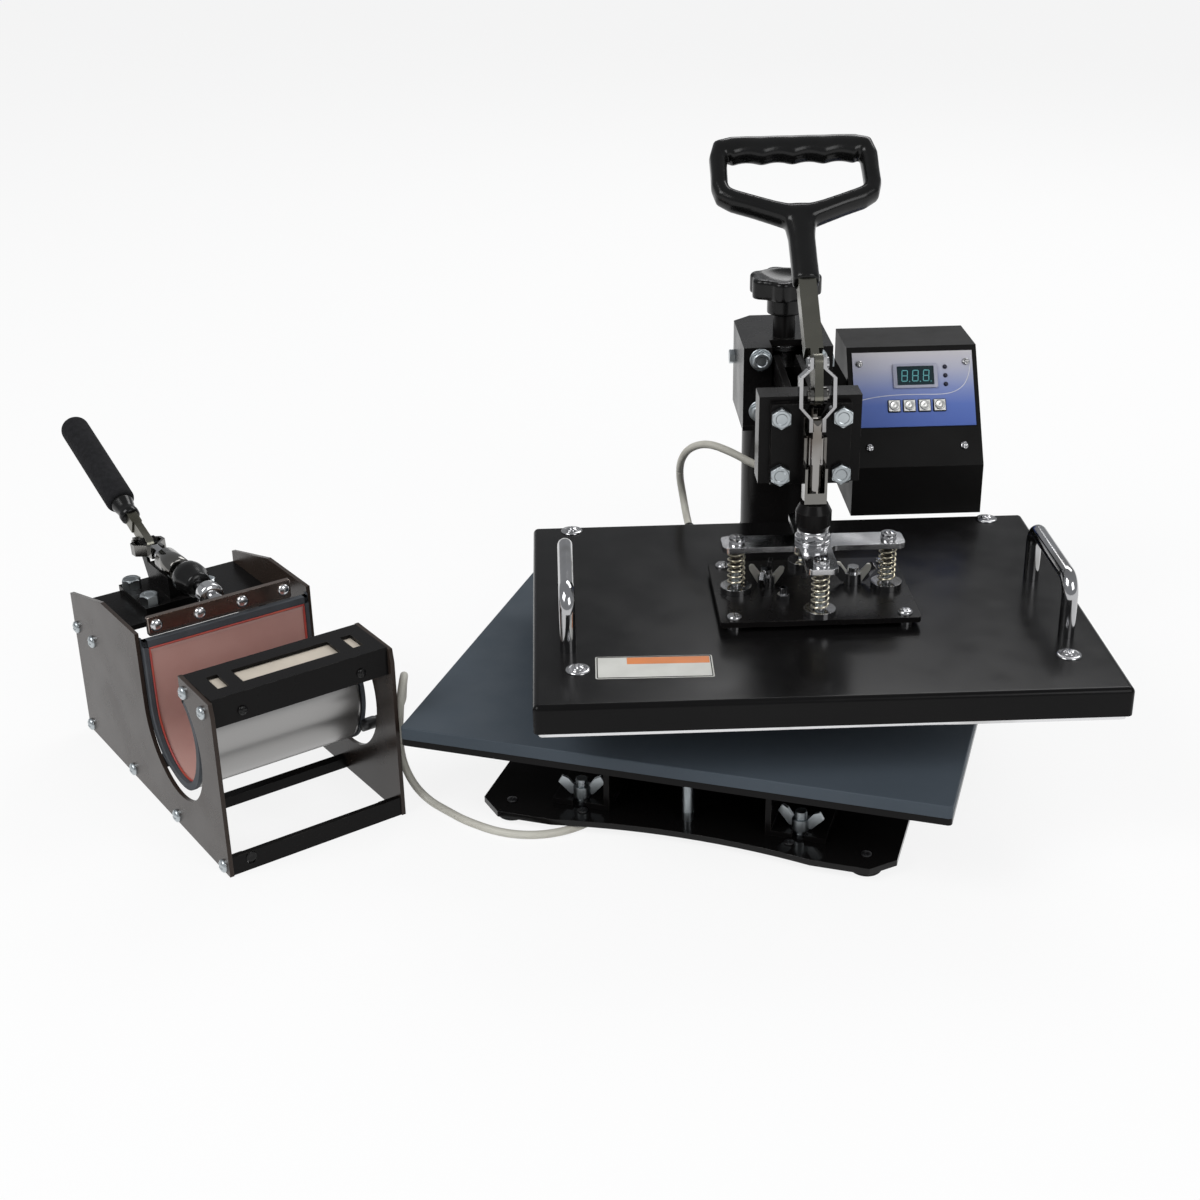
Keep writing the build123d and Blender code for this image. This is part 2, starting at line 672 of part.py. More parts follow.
# ---------------------------------------------------------------- pressure screw
def make_pressure_screw():
    screw = disc(SCREW_R, (0, 0), SCREW_BOTTOM, KNOB_TOP - 9)
    roof = HOUSING_TOP - HOUSING_ROOF
    collar = disc(COLLAR_R, (0, 0), roof - CLEAR - COLLAR_T, roof - CLEAR)
    add("pressure_screw", HEAD, screw + collar)

    hub_bottom = BOSS_TOP + CLEAR
    rim = Circle(KNOB_R - KNOB_LOBE_DEPTH)
    for n in range(KNOB_LOBES):
        angle = math.tau * n / KNOB_LOBES
        middle = KNOB_R - KNOB_LOBE_R
        rim += Pos(middle * math.cos(angle), middle * math.sin(angle)) * Circle(KNOB_LOBE_R)
    rim = fillet(rim.vertices(), 3.0)
    rim = Pos(0, 0, KNOB_TOP - KNOB_RIM) * extrude(rim, KNOB_RIM)
    rim = chamfer(rim.edges().group_by(Axis.Z)[-1], 1.5)
    dish = Pos(0, 0, KNOB_TOP + 34) * Sphere(40)
    knob = rim + disc(KNOB_HUB_R, (0, 0), hub_bottom, KNOB_TOP - KNOB_RIM) - dish
    knob -= disc(SCREW_R + SEAT, (0, 0), hub_bottom - 1, KNOB_TOP - 9 + SEAT)
    add("pressure_knob", HEAD, knob)


# ---------------------------------------------------------------- clamp arm, bracket and toggle body
def make_clamp_arm():
    """Nut block that rides on the pressure screw, with two ribs reaching out to the bracket."""
    nut = block((-CARRIAGE_HALF, CARRIAGE_HALF), (CARRIAGE_FRONT, CARRIAGE_BACK),
                (CARRIAGE_BOTTOM, CARRIAGE_TOP))
    nut -= disc(SCREW_R + RUN, (0, 0), CARRIAGE_BOTTOM - 1, CARRIAGE_TOP + 1)
    plate_back = BRACKET_FACE + BRACKET_WALL
    profile = outline([
        (CARRIAGE_FRONT + 2, CARRIAGE_BOTTOM), (CARRIAGE_FRONT + 2, CARRIAGE_TOP),
        (HOUSING_FRONT + ARM_NOTCH - 14, CARRIAGE_TOP + 10), (HOUSING_FRONT - 20, CARRIAGE_TOP + 10),
        (plate_back, BRACKET_TOP - 14), (plate_back, BRACKET_BOTTOM + 8),
        (HOUSING_FRONT - 10, CARRIAGE_BOTTOM),
    ])
    ribs = [side(profile, x, x + RIB_T) for x in (RIB_GAP / 2, -RIB_GAP / 2 - RIB_T)]
    web = block((-RIB_GAP / 2 - 1, RIB_GAP / 2 + 1), (HOUSING_FRONT - 100, HOUSING_FRONT - 10),
                (CARRIAGE_BOTTOM + 10, CARRIAGE_BOTTOM + 14))
    add("clamp_arm", HEAD, nut + ribs[0] + ribs[1] + web)


def bolt_places():
    return [(x, z) for x in (-CLAMP_BOLT_X, CLAMP_BOLT_X) for z in (CLAMP_BOLT_LOW, CLAMP_BOLT_HIGH)]


def make_bracket():
    back = BRACKET_FACE + BRACKET_D
    shell = block((-BRACKET_HALF, BRACKET_HALF), (BRACKET_FACE, back), (BRACKET_BOTTOM, BRACKET_TOP))
    shell -= block((-BRACKET_HALF + BRACKET_WALL, BRACKET_HALF - BRACKET_WALL),
                   (BRACKET_FACE + BRACKET_WALL, back + 1),
                   (BRACKET_BOTTOM + BRACKET_WALL, BRACKET_TOP - BRACKET_WALL))
    face = BRACKET_FACE - FLANGE_T
    flange = block((-FLANGE_HALF, FLANGE_HALF), (face, BRACKET_FACE),
                   (FLANGE_BOTTOM, FLANGE_TOP))
    bolts = []
    for x, z in bolt_places():
        place = toward((0, -1, 0), (x, face, z))
        hole = place * disc(CLAMP_BOLT_R + SEAT, (0, 0), -FLANGE_T - BRACKET_WALL - 1, 1)
        shell -= hole
        flange -= hole
        grip = FLANGE_T + BRACKET_WALL
        bolts.append(place * hex_bolt((0, 0), 0, grip, CLAMP_BOLT_R, CLAMP_BOLT_AF, CLAMP_BOLT_HEAD))
    add("clamp_bracket", HEAD, shell, flange)
    add("clamp_bolts", HEAD, *bolts)


# ---------------------------------------------------------------- toggle, drawn about its lever pivot
def crank_tip(crank, rest):
    """Upper link pin at rest, as (y, z) from the lever pivot."""
    return crank * math.sin(math.radians(rest)), crank * math.cos(math.radians(rest))


def link_foot(crank, link, rest):
    """Lower link pin at rest, as (y, z) from the lever pivot."""
    y, z = crank_tip(crank, rest)
    return 0.0, z - math.sqrt(link ** 2 - y ** 2)


def stroke(crank, link, rest, travel):
    """How far the lower link pin moves over the lever's travel."""
    def drop(angle):
        a = math.radians(angle)
        return crank * math.cos(a) - math.sqrt(link ** 2 - (crank * math.sin(a)) ** 2)
    return drop(-rest) - drop(travel - rest)


STROKE = stroke(CRANK, LINK_L, CRANK_REST, LEVER_TRAVEL)


def guide_channel(low, high, waist):
    """Slotted guide with a bored ring at its lower end; its sides step back above the waist."""
    channel = block((-CHANNEL_HALF, CHANNEL_HALF), (-CHANNEL_FRONT, CHANNEL_BACK), (low, high))
    inner = CHANNEL_HALF - CHANNEL_WALL
    channel -= block((-inner, inner), (-CHANNEL_FRONT - 1, CHANNEL_DEPTH), (low + RING_H, high + 1))
    channel -= block((-CHANNEL_HALF - 1, CHANNEL_HALF + 1), (-CHANNEL_FRONT - 1, CHANNEL_STEP),
                     (waist, high + 1))
    return channel - disc(ROD_R + RUN, (0, 0), low - 1, high)


def pivot_lugs(radius, root):
    """Two ears that carry the lever pivot, its pin and the pin's heads."""
    ear = make_hull(Circle(radius).edges() + outline(root).edges())
    gap = LEVER_HALF_T + LUG_GAP
    lugs = [side(ear, x, x + LUG_T) for x in (gap, -gap - LUG_T)]
    lugs.append(rod(PIN_R, (-gap - LUG_T, 0, 0), (gap + LUG_T, 0, 0)))
    for x in (gap + LUG_T, -gap - LUG_T - PIN_HEAD_T):
        lugs.append(rod(PIN_HEAD_R, (x, 0, 0), (x + PIN_HEAD_T, 0, 0)))
    return union(lugs)


def lever_plate(tip, lean, boss, stem_from, stem_to, stem_half, depth):
    """Bell-crank plate that widens into a channel-section stem."""
    along = (math.sin(math.radians(lean)), math.cos(math.radians(lean)))

    def point(u, v):
        return along[0] * u - along[1] * v, along[1] * u + along[0] * v

    half = depth / 2
    hub = Circle(boss).edges()
    crank = make_hull(hub + (Pos(*tip) * Circle(boss)).edges())
    arm = make_hull(hub + (Pos(*point(stem_from + half, 0)) * Circle(half)).edges())
    corners = [(stem_from, -half), (stem_to, -half), (stem_to, half), (stem_from, half)]
    bar = outline([point(*corner) for corner in corners])
    plate = side(crank, -LEVER_HALF_T, LEVER_HALF_T) + side(arm, -LEVER_HALF_T, LEVER_HALF_T)
    plate += side(bar, -stem_half, stem_half)
    for at in ((0, 0), tip):
        plate -= rod(PIN_R + RUN, (-stem_half, *at), (stem_half, *at))
    return plate


def link_yoke(tip, foot):
    """Two side links bowed round the lever pivot, with the upper pin through them."""
    run = Vector(0, foot[0] - tip[0], foot[1] - tip[1])
    length = run.length
    inner = LEVER_HALF_T + LUG_GAP
    end = LINK_W / 2
    path = [(inner, -end), (inner, LINK_TOP_NECK), (LINK_BOW, LINK_TOP_SHOULDER),
            (LINK_BOW, length - LINK_SHOULDER), (inner, length - LINK_NECK), (inner, length + end)]
    face = outline(path + [(x + LINK_T, s) for x, s in reversed(path)])
    plane = Plane(origin=(0, *tip), x_dir=(1, 0, 0), z_dir=Vector(1, 0, 0).cross(run.normalized()))
    right = extrude(plane * face, LINK_W / 2, both=True)
    reach = inner + LINK_T + PIN_HEAD_T
    yoke = right + mirror(right, Plane.YZ) + rod(PIN_R, (-reach, *tip), (reach, *tip))
    for x in (inner + LINK_T, -reach):
        yoke += rod(PIN_HEAD_R, (x, *tip), (x + PIN_HEAD_T, *tip))
    return yoke


def round_rod(foot, bottom):
    """Plunger rod, flattened and rounded at the top where the links straddle it."""
    z = foot[1]
    flat = rod(ROD_R, (-FLAT_HALF, 0, z), (FLAT_HALF, 0, z))
    flat += block((-FLAT_HALF, FLAT_HALF), (-ROD_R, ROD_R), (z - FLAT_L - 0.5, z))
    return disc(ROD_R, (0, 0), bottom, z - FLAT_L) + (flat & disc(ROD_R, (0, 0), bottom, z + 2 * ROD_R))


def nose(low, high):
    """Rubber-black bumper on the rod, wider towards its top."""
    profile = outline([(ROD_R + SEAT, low), (NOSE_R - 3.4, low), (NOSE_R - 2.4, low + 8), (NOSE_R, low + 13),
                       (NOSE_R, high - 6), (NOSE_R - 3, high), (ROD_R + SEAT, high)])
    return revolve(Plane.XZ * profile, Axis.Z, 360)


TOGGLE = HEAD * Pos(0, -REACH, PIVOT_Z)


def make_toggle():
    tip, foot = crank_tip(CRANK, CRANK_REST), link_foot(CRANK, LINK_L, CRANK_REST)
    face = REACH + BRACKET_FACE - FLANGE_T
    low, high = CHANNEL_BOTTOM - PIVOT_Z, CHANNEL_TOP - PIVOT_Z
    root = [(face - 4, LUG_LOW), (face, LUG_LOW), (face, LUG_LOW + 6), (face - 4, LUG_LOW + 6)]
    web = block((-WEB_HALF, WEB_HALF), (CHANNEL_BACK - 0.5, face), (low + 4, high - 2))
    gap = LEVER_HALF_T + LUG_GAP + LUG_T
    bridge = block((-gap, gap), (face - 4, face), (high - 8, LUG_LOW + 6))
    body = guide_channel(low, high, CHANNEL_WAIST - PIVOT_Z) + web + bridge + pivot_lugs(LUG_R, root)
    add("toggle_body", TOGGLE, body)

    stem_end = GRIP_STEM + GRIP_SOCKET
    lever = lever_plate(tip, LEVER_LEAN, LEVER_BOSS_R, STEM_START, stem_end, STEM_HALF, STEM_DEPTH)
    add("press_lever", TOGGLE, lever)
    add("side_links", TOGGLE, link_yoke(tip, foot))
    add("lever_grip", TOGGLE, make_grip())
    return foot


def make_grip():
    """D-shaped moulded grip, drawn flat and then leant back on the lever."""
    half = GRIP_HALF_TOP
    face = outline([
        (-half + 6, GRIP_END), (half - 6, GRIP_END), (half, GRIP_END - 8), (GRIP_HALF_LOW, GRIP_LOW + 10),
        (GRIP_HALF_LOW - 3, GRIP_LOW), (STEM_W / 2 + 3, GRIP_NECK + 2), (STEM_W / 2, GRIP_NECK - 6),
        (STEM_W / 2 - 1, GRIP_STEM), (-STEM_W / 2 + 1, GRIP_STEM), (-STEM_W / 2, GRIP_NECK - 6),
        (-STEM_W / 2 - 3, GRIP_NECK + 2), (-GRIP_HALF_LOW + 3, GRIP_LOW), (-GRIP_HALF_LOW, GRIP_LOW + 10),
        (-half, GRIP_END - 8),
    ])
    grip = extrude(Plane.XY.offset(-GRIP_T / 2) * face, GRIP_T)
    rims = grip.edges().group_by(Axis.Z)
    grip = fillet(rims[0] + rims[-1], GRIP_EDGE_R)
    bar_under = GRIP_END - GRIP_BAR
    window = outline([(-WINDOW_HALF, bar_under), (WINDOW_HALF, bar_under), (WINDOW_HALF + 1, WINDOW_CORNER),
                      (WINDOW_NECK_HALF, WINDOW_LOW), (-WINDOW_NECK_HALF, WINDOW_LOW),
                      (-WINDOW_HALF - 1, WINDOW_CORNER)])
    pitch = 2 * WINDOW_HALF / FINGERS
    for n in range(FINGERS):
        window += Pos(-WINDOW_HALF + pitch * (n + 0.5), bar_under - FINGER_DROP) * Circle(pitch / 2)
    grip -= extrude(Plane.XY.offset(-GRIP_T) * window, 2 * GRIP_T)
    grip -= block((-STEM_HALF - SEAT, STEM_HALF + SEAT), (GRIP_STEM - 1, GRIP_STEM + GRIP_SOCKET + SEAT),
                  (-STEM_DEPTH / 2 - SEAT, STEM_DEPTH / 2 + SEAT))
    lean = math.radians(LEVER_LEAN)
    along = Vector(0, math.sin(lean), math.cos(lean))
    return Plane(origin=(0, 0, 0), x_dir=(1, 0, 0), z_dir=Vector(1, 0, 0).cross(along)).location * grip


# ---------------------------------------------------------------- plunger, spider and heater head
HEAT_BOTTOM = PAD_TOP + GAP_CLOSED + PRESSURE_DROP + STROKE
COVER_BOTTOM = COVER_TOP - COVER_H
HEATER_Y = -(POST_R + HEATER_GAP + COVER_D / 2)
COVER_BACK = HEATER_Y + COVER_D / 2
GLAND_Z = (COVER_TOP + COVER_BOTTOM) / 2
MOUNT_BOTTOM = COVER_TOP + MOUNT_GAP
MOUNT_TOP = MOUNT_BOTTOM + MOUNT_T
SPIDER_BOTTOM = SPIDER_TOP - SPIDER_T
HEAT_PLATE_TOP = COVER_BOTTOM + 3.0


def spring_places():
    y = -REACH
    return [(-SPRING_X, y), (SPRING_X, y), (0, y - SPRING_Y), (0, y + SPRING_Y)]


def make_plunger(foot):
    y = -REACH
    add("plunger", TOGGLE, round_rod(foot, SPIDER_BOTTOM - ROD_NUT_H - PIVOT_Z),
        pipe_hexagon(ROD_NUT_AF, ROD_R, SPIDER_BOTTOM - ROD_NUT_H - PIVOT_Z, SPIDER_BOTTOM - PIVOT_Z))
    add("plunger_nose", TOGGLE, nose(SPIDER_TOP - PIVOT_Z, NOSE_TOP - PIVOT_Z))

    arms = Rectangle(2 * SPIDER_REACH, SPIDER_ARM_W) + Rectangle(SPIDER_ARM_W, 2 * (SPRING_Y + 10))
    arms = fillet(arms.vertices(), 5.0)
    spider = Pos(0, y, SPIDER_BOTTOM) * extrude(arms, SPIDER_T)
    spider -= disc(ROD_R + SEAT, (0, y), SPIDER_BOTTOM - 1, SPIDER_TOP + 1)
    for x, at_y in spring_places():
        spider -= disc(SPRING_BOLT_R + CLEAR, (x, at_y), SPIDER_BOTTOM - 1, SPIDER_TOP + 1)
    add("spider_plate", HEAD, spider)


def make_spring_pack():
    bolts = []
    springs = []
    for at in spring_places():
        bolt = disc(SPRING_BOLT_R, at, MOUNT_TOP + SEAT, SPIDER_TOP + SEAT)
        head = disc(SPRING_HEAD_R, at, SPIDER_TOP + SEAT, SPIDER_TOP + SPRING_HEAD_T)
        head -= block((at[0] - 8, at[0] + 8), (at[1] - 0.7, at[1] + 0.7), (SPIDER_TOP + 2, SPIDER_TOP + 9))
        nut = disc(SPRING_NUT_R, at, MOUNT_TOP, MOUNT_TOP + SPRING_NUT_T)
        bolts.append(bolt + head + nut)
        inner = SPRING_R - SPRING_WIRE
        springs.append(pipe(SPRING_R, inner, at, MOUNT_TOP + SPRING_NUT_T + SEAT, SPIDER_BOTTOM - SEAT))
    add("platen_springs", HEAD, *springs)
    return bolts


def mount_screw_places():
    return [(x, -REACH + y) for x in (-MOUNT_SCREW_X, MOUNT_SCREW_X) for y in (-MOUNT_SCREW_Y, MOUNT_SCREW_Y)]


def cover_screw_places():
    columns = (PLATEN_X - COVER_SCREW_X, PLATEN_X + COVER_SCREW_X)
    return [(x, y) for x in columns for y in (COVER_SCREW_FRONT, COVER_SCREW_BACK)]


def wing_places():
    return [(x, -REACH + MOUNT_WING_Y) for x in (-MOUNT_WING_X, MOUNT_WING_X)]


def make_mount(screws):
    plate = Pos(0, -REACH, MOUNT_BOTTOM) * extrude(RectangleRounded(MOUNT_W, MOUNT_D, 3), MOUNT_T)
    for at in mount_screw_places():
        plate -= disc(2.5 + SEAT, at, MOUNT_BOTTOM - 1, MOUNT_TOP + 1)
        standoff = disc(5.0, at, COVER_TOP, MOUNT_BOTTOM)
        screws.append(standoff + dome_screw(at, MOUNT_TOP, MOUNT_T, 2.5, 4.8, 2.4))
    for at in wing_places():
        plate -= disc(STUD_R + SEAT, at, MOUNT_BOTTOM - 1, MOUNT_TOP + 1)
        stud = disc(STUD_R, at, MOUNT_BOTTOM, MOUNT_TOP + 13) + disc(7.0, at, COVER_TOP, MOUNT_BOTTOM)
        screws.append(stud)
    earth = (EARTH_STUD_X, -REACH + EARTH_STUD_Y)
    screws.append(disc(2.5, earth, MOUNT_TOP, MOUNT_TOP + 9) + hexagon(8.0, earth, MOUNT_TOP, MOUNT_TOP + 4))
    add("mount_plate", HEAD, plate)
    screws += [wing_nut(at, MOUNT_TOP + SEAT, turn) for at, turn in zip(wing_places(), (70, -4))]
    for at in cover_screw_places():
        dish = disc(DISH_R, at, COVER_TOP, COVER_TOP + DISH_T)
        dish = chamfer(dish.edges().sort_by(Axis.Z)[-1], 0.7 * DISH_T)
        head = disc(0.6 * DISH_R, at, COVER_TOP, COVER_TOP + 1.5 * DISH_T)
        screws.append(dish + head + disc(COVER_SCREW_R, at, HEAT_PLATE_TOP, COVER_TOP))
    add("platen_fasteners", HEAD, *screws)


def make_heater():
    middle = Pos(PLATEN_X, HEATER_Y, 0)
    cover = Pos(0, 0, COVER_BOTTOM) * extrude(RectangleRounded(COVER_W, COVER_D, 4), COVER_H)
    cover = fillet(cover.edges().group_by(Axis.Z)[-1], COVER_EDGE_R)
    inner = RectangleRounded(COVER_W - 2 * COVER_WALL, COVER_D - 2 * COVER_WALL, 3)
    cover -= Pos(0, 0, COVER_BOTTOM - 1) * extrude(inner, COVER_H - COVER_WALL + 1)
    cover = middle * cover
    for at in cover_screw_places():
        cover -= disc(COVER_SCREW_R + SEAT, at, COVER_BOTTOM, COVER_TOP + 1)
    cover -= gland_rod(GLAND_R + 2 * SEAT, -GLAND_NUT, 0)
    gland = gland_rod(GLAND_R, -GLAND_NUT, GLAND_L) + gland_rod(GLAND_HEAD_R, 0, GLAND_NUT)
    gland -= gland_rod(HEATER_LEAD_R + SEAT, -GLAND_NUT - 1, GLAND_L + 1)
    add("heater_cover", HEAD, cover, gland)
    make_heat_plate(middle)


def gland_rod(radius, start, end):
    """Round bar on the gland's axis, measured from the cover's back."""
    return rod(radius, (GLAND_X, COVER_BACK + start, GLAND_Z), (GLAND_X, COVER_BACK + end, GLAND_Z))


def make_heat_plate(middle):
    plate_h = HEAT_PLATE_TOP - HEAT_BOTTOM
    plate = extrude(RectangleRounded(HEAT_PLATE_W, HEAT_PLATE_D, 3), plate_h)
    plate = fillet(plate.edges().group_by(Axis.Z)[0], 1.0)
    half = (HEAT_PLATE_W / 2 - ELEMENT_INSET, HEAT_PLATE_D / 2 - ELEMENT_INSET)
    track = element_track(half)
    plate = Pos(0, 0, HEAT_BOTTOM) * plate
    groove = Pos(0, 0, HEAT_PLATE_TOP - ELEMENT_T / 2) * extrude(element_track(half, SEAT), ELEMENT_T)
    plate -= groove
    add("heat_plate", HEAD, middle * plate)
    element = Pos(0, 0, HEAT_PLATE_TOP - ELEMENT_T / 2) * extrude(track, ELEMENT_T / 2 - SEAT)
    add("heating_element", HEAD, middle * element)
    blanket_top = COVER_TOP - COVER_WALL - 0.5
    blanket = Pos(0, 0, HEAT_PLATE_TOP + SEAT) * extrude(
        RectangleRounded(COVER_W - 16, COVER_D - 26, 4), blanket_top - HEAT_PLATE_TOP)
    for x, y in cover_screw_places():
        blanket -= disc(4.0, (x - PLATEN_X, y - HEATER_Y), HEAT_PLATE_TOP - 1, COVER_TOP)
    add("insulation_blanket", HEAD, middle * blanket)


def element_track(half, grow=0.0):
    """Looped tubular element: a ring band with a second loop inside it."""
    width = ELEMENT_T + 2 * grow
    x, y = half
    rings = []
    for inset in (0, ELEMENT_PITCH):
        outer = RectangleRounded(2 * (x - inset) + width, 2 * (y - inset) + width, ELEMENT_BEND + width / 2)
        inner = RectangleRounded(2 * (x - inset) - width, 2 * (y - inset) - width, ELEMENT_BEND - width / 2)
        rings.append(outer - inner)
    return rings[0] + rings[1]


def make_lift_handles():
    handles = []
    for sign in (-1, 1):
        x = PLATEN_X + sign * HANDLE_X
        top = COVER_TOP + HANDLE_H
        path = FilletPolyline((x, HANDLE_FRONT, COVER_TOP), (x, HANDLE_FRONT, top - HANDLE_R),
                              (x, HANDLE_BACK, top - HANDLE_R), (x, HANDLE_BACK, COVER_TOP), radius=12)
        handles.append(sweep(Plane(origin=(x, HANDLE_FRONT, COVER_TOP)) * Circle(HANDLE_R), path=path))
    add("lift_handles", HEAD, *handles)


# ---------------------------------------------------------------- control box
def box_outline():
    return outline([(BOX_FRONT, BOX_BOTTOM), (BOX_FRONT, BOX_BEND), (BOX_BROW, BOX_TOP), (BOX_BACK, BOX_TOP),
                    (BOX_BACK, BOX_BOTTOM)])


def panel_plane():
    """Plane on the sloping front: X to the right, Y up the slope, Z outward, origin at the panel's top."""
    run = Vector(0, BOX_BROW - BOX_FRONT, BOX_TOP - BOX_BEND).normalized()
    top = Vector((BOX_LEFT + BOX_RIGHT) / 2, BOX_BROW, BOX_TOP) - run * PANEL_DROP
    return Plane(origin=top, x_dir=(1, 0, 0), z_dir=Vector(1, 0, 0).cross(run))


def strap_bolt_places():
    """(y, z) of the bolts through the box's arm and the housing's side."""
    return [(STRAP_BOLT_Y, z) for z in STRAP_BOLT_Z]


def make_control_box(bolts):
    """Folded shell, open at the back, on an arm from the housing's side."""
    shell = side(box_outline(), BOX_LEFT, BOX_RIGHT)
    inner = offset(box_outline(), -BOX_WALL, kind=Kind.INTERSECTION)
    shell -= side(inner, BOX_LEFT + BOX_WALL, BOX_RIGHT - BOX_WALL)
    shell -= block((BOX_LEFT + BOX_WALL, BOX_RIGHT - BOX_WALL), (BOX_BACK - BOX_WALL - 1, BOX_BACK + 1),
                   (BOX_BOTTOM + BOX_WALL, BOX_TOP - BOX_WALL))
    place = panel_plane().location
    depth = PANEL_T + BOX_WALL + 4
    holes = [Pos(DISPLAY_X, -DISPLAY_DROP, 0) * Box(DISPLAY_W - 3, DISPLAY_H - 3, 2 * depth)]
    key = BUTTON_SIZE + 2 * CLEAR
    holes += [Pos(x, y, 0) * Box(key, key, 2 * depth) for x, y in button_places()]
    holes += [disc(LAMP_R + SEAT, at, -depth, depth) for at in lamp_places()]
    screws = panel_screw_places() + box_screw_places()
    holes += [disc(PANEL_SCREW_R + SEAT, at, -depth, depth) for at in screws]
    panel = Pos(0, -PANEL_H / 2, PANEL_T / 2) * Box(PANEL_W, PANEL_H, PANEL_T)
    for hole in holes:
        panel -= hole
        shell -= place * hole
    root = HOUSING_HALF + STRAP_T
    strap = outline([(HOUSING_HALF, STRAP_TOP), (root, STRAP_TOP), (BOX_LEFT, STRAP_BOX_TOP),
                     (BOX_LEFT, STRAP_BOX_LOW), (HOUSING_HALF, STRAP_LOW)])
    strap = extrude(Plane(origin=(0, STRAP_Y, 0), x_dir=(1, 0, 0), z_dir=(0, -1, 0)) * strap, -STRAP_T)
    back = STRAP_Y + STRAP_T
    foot = block((HOUSING_HALF, root), (back - STRAP_FOOT, back), (STRAP_LOW, STRAP_TOP))
    shell -= rod(GROMMET_R + SEAT, (BOX_LEFT - 1, GROMMET_Y, GROMMET_Z), (BOX_LEFT + 9, GROMMET_Y, GROMMET_Z))
    for y, z in strap_bolt_places():
        bolt = toward((1, 0, 0), (HOUSING_HALF + STRAP_T, y, z))
        foot -= bolt * disc(HOUSING_BOLT_R + SEAT, (0, 0), -STRAP_T - 1, 1)
        bolts.append(bolt * housing_bolt(STRAP_T + HOUSING_WALL))
    add("control_box", HEAD, shell + strap + foot)
    add("control_panel", HEAD, place * panel)
    bolts += make_panel_parts(place)
    make_box_back()
    add("head_fasteners", HEAD, *bolts)


def button_places():
    return [(DISPLAY_X + (n - 1.5) * BUTTON_PITCH, -BUTTON_DROP) for n in range(4)]


def lamp_places():
    return [(LAMP_X, (n - 1) * LAMP_PITCH - DISPLAY_DROP) for n in range(3)]


def panel_screw_places():
    return [(x, -PANEL_SCREW_DROP) for x in (-PANEL_SCREW_X, PANEL_SCREW_X)]


def box_screw_places():
    return [(x, -BOX_SCREW_DROP) for x in (-BOX_SCREW_X, BOX_SCREW_X)]


def make_panel_parts(place):
    glass_t = 2.0
    display = Pos(DISPLAY_X, -DISPLAY_DROP, PANEL_T + glass_t / 2) * Box(DISPLAY_W, DISPLAY_H, glass_t)
    display -= Pos(DISPLAY_X, -DISPLAY_DROP, PANEL_T + glass_t) * Box(DISPLAY_W - 5, DISPLAY_H - 5, 1.0)
    display += Pos(DISPLAY_X, -DISPLAY_DROP, (PANEL_T - BOARD_DROP) / 2) * Box(
        DISPLAY_W - 3 - 2 * CLEAR, DISPLAY_H - 3 - 2 * CLEAR, PANEL_T + BOARD_DROP)
    lamps = [disc(LAMP_R, at, -BOARD_DROP, PANEL_T + 0.8) for at in lamp_places()]
    add("display_module", HEAD, place * display, *[place * lamp for lamp in lamps])

    board = Pos(0, -PANEL_H / 2, -BOARD_DROP - BOARD_T / 2) * Box(PANEL_W - 12, PANEL_H - 8, BOARD_T)
    relay = Pos(-24, -PANEL_H / 2, -BOARD_DROP - BOARD_T - 8) * Box(28, 20, 16)
    posts = [disc(3.0, at, -BOARD_DROP, -BOX_WALL) for at in panel_screw_places()]
    posts = [post - disc(PANEL_SCREW_R + SEAT, at, -BOARD_DROP - 1, 1)
             for post, at in zip(posts, panel_screw_places())]
    add("circuit_board", HEAD, place * (board + relay), *[place * post for post in posts])
    screws = [dome_screw(at, PANEL_T, PANEL_T + BOARD_DROP - SEAT, PANEL_SCREW_R, 2.8, 1.4)
              for at in panel_screw_places()]
    screws += [dome_screw(at, 0, 2 * BOX_WALL, PANEL_SCREW_R, 2.8, 1.4) for at in box_screw_places()]
    inward = BUTTON_TRAVEL + BUTTON_PROUD
    for n, (x, y) in enumerate(button_places()):
        cap = Pos(x, y, PANEL_T + BUTTON_PROUD - inward / 2) * Box(BUTTON_SIZE, BUTTON_SIZE, inward)
        cap += disc(BUTTON_STEM_R, (x, y), BUTTON_TRAVEL + CLEAR - BOARD_DROP, PANEL_T)
        cap += disc(BUTTON_STEM_R, (x, y), PANEL_T + BUTTON_PROUD, PANEL_T + BUTTON_PROUD + 0.7)
        add(f"push_button_{n + 1}", HEAD, place * cap)
    return [place * screw for screw in screws]


def frame_block(middle, half_x, half_z, y):
    """Block round a point (x, z) of the box's back."""
    x, z = middle
    return block((x - half_x, x + half_x), y, (z - half_z, z + half_z))


def make_inlet(back):
    """Recessed three-pin mains inlet with its flange."""
    at = (INLET_X, INLET_Z)
    inlet = frame_block(at, INLET_HALF_W - SEAT, INLET_HALF_H - SEAT, (back - INLET_DEPTH, back + 1))
    inlet += frame_block(at, INLET_FLANGE_HALF, INLET_HALF_H + 2, (back, back + INLET_FLANGE_T))
    mouth = back - INLET_MOUTH
    inlet -= frame_block(at, INLET_HALF_W - 3, INLET_HALF_H - 3, (mouth, back + INLET_FLANGE_T + 1))
    for shift in (-INLET_PIN_PITCH, 0, INLET_PIN_PITCH):
        inlet += frame_block((INLET_X + shift, INLET_Z), 1, 2, (mouth - 1, back - 2))
    return inlet


def make_rocker_frame(back):
    at = (ROCKER_X, ROCKER_Z)
    half_w, half_h = ROCKER_W / 2, ROCKER_H / 2
    frame = frame_block(at, half_w + ROCKER_RIM, half_h + ROCKER_RIM, (back, back + 2))
    frame += frame_block(at, half_w - SEAT, half_h - SEAT, (back - ROCKER_FRAME_DEPTH, back))
    return frame - frame_block(at, half_w - ROCKER_RIM, half_h - ROCKER_RIM, (back - ROCKER_WELL, back + 3))


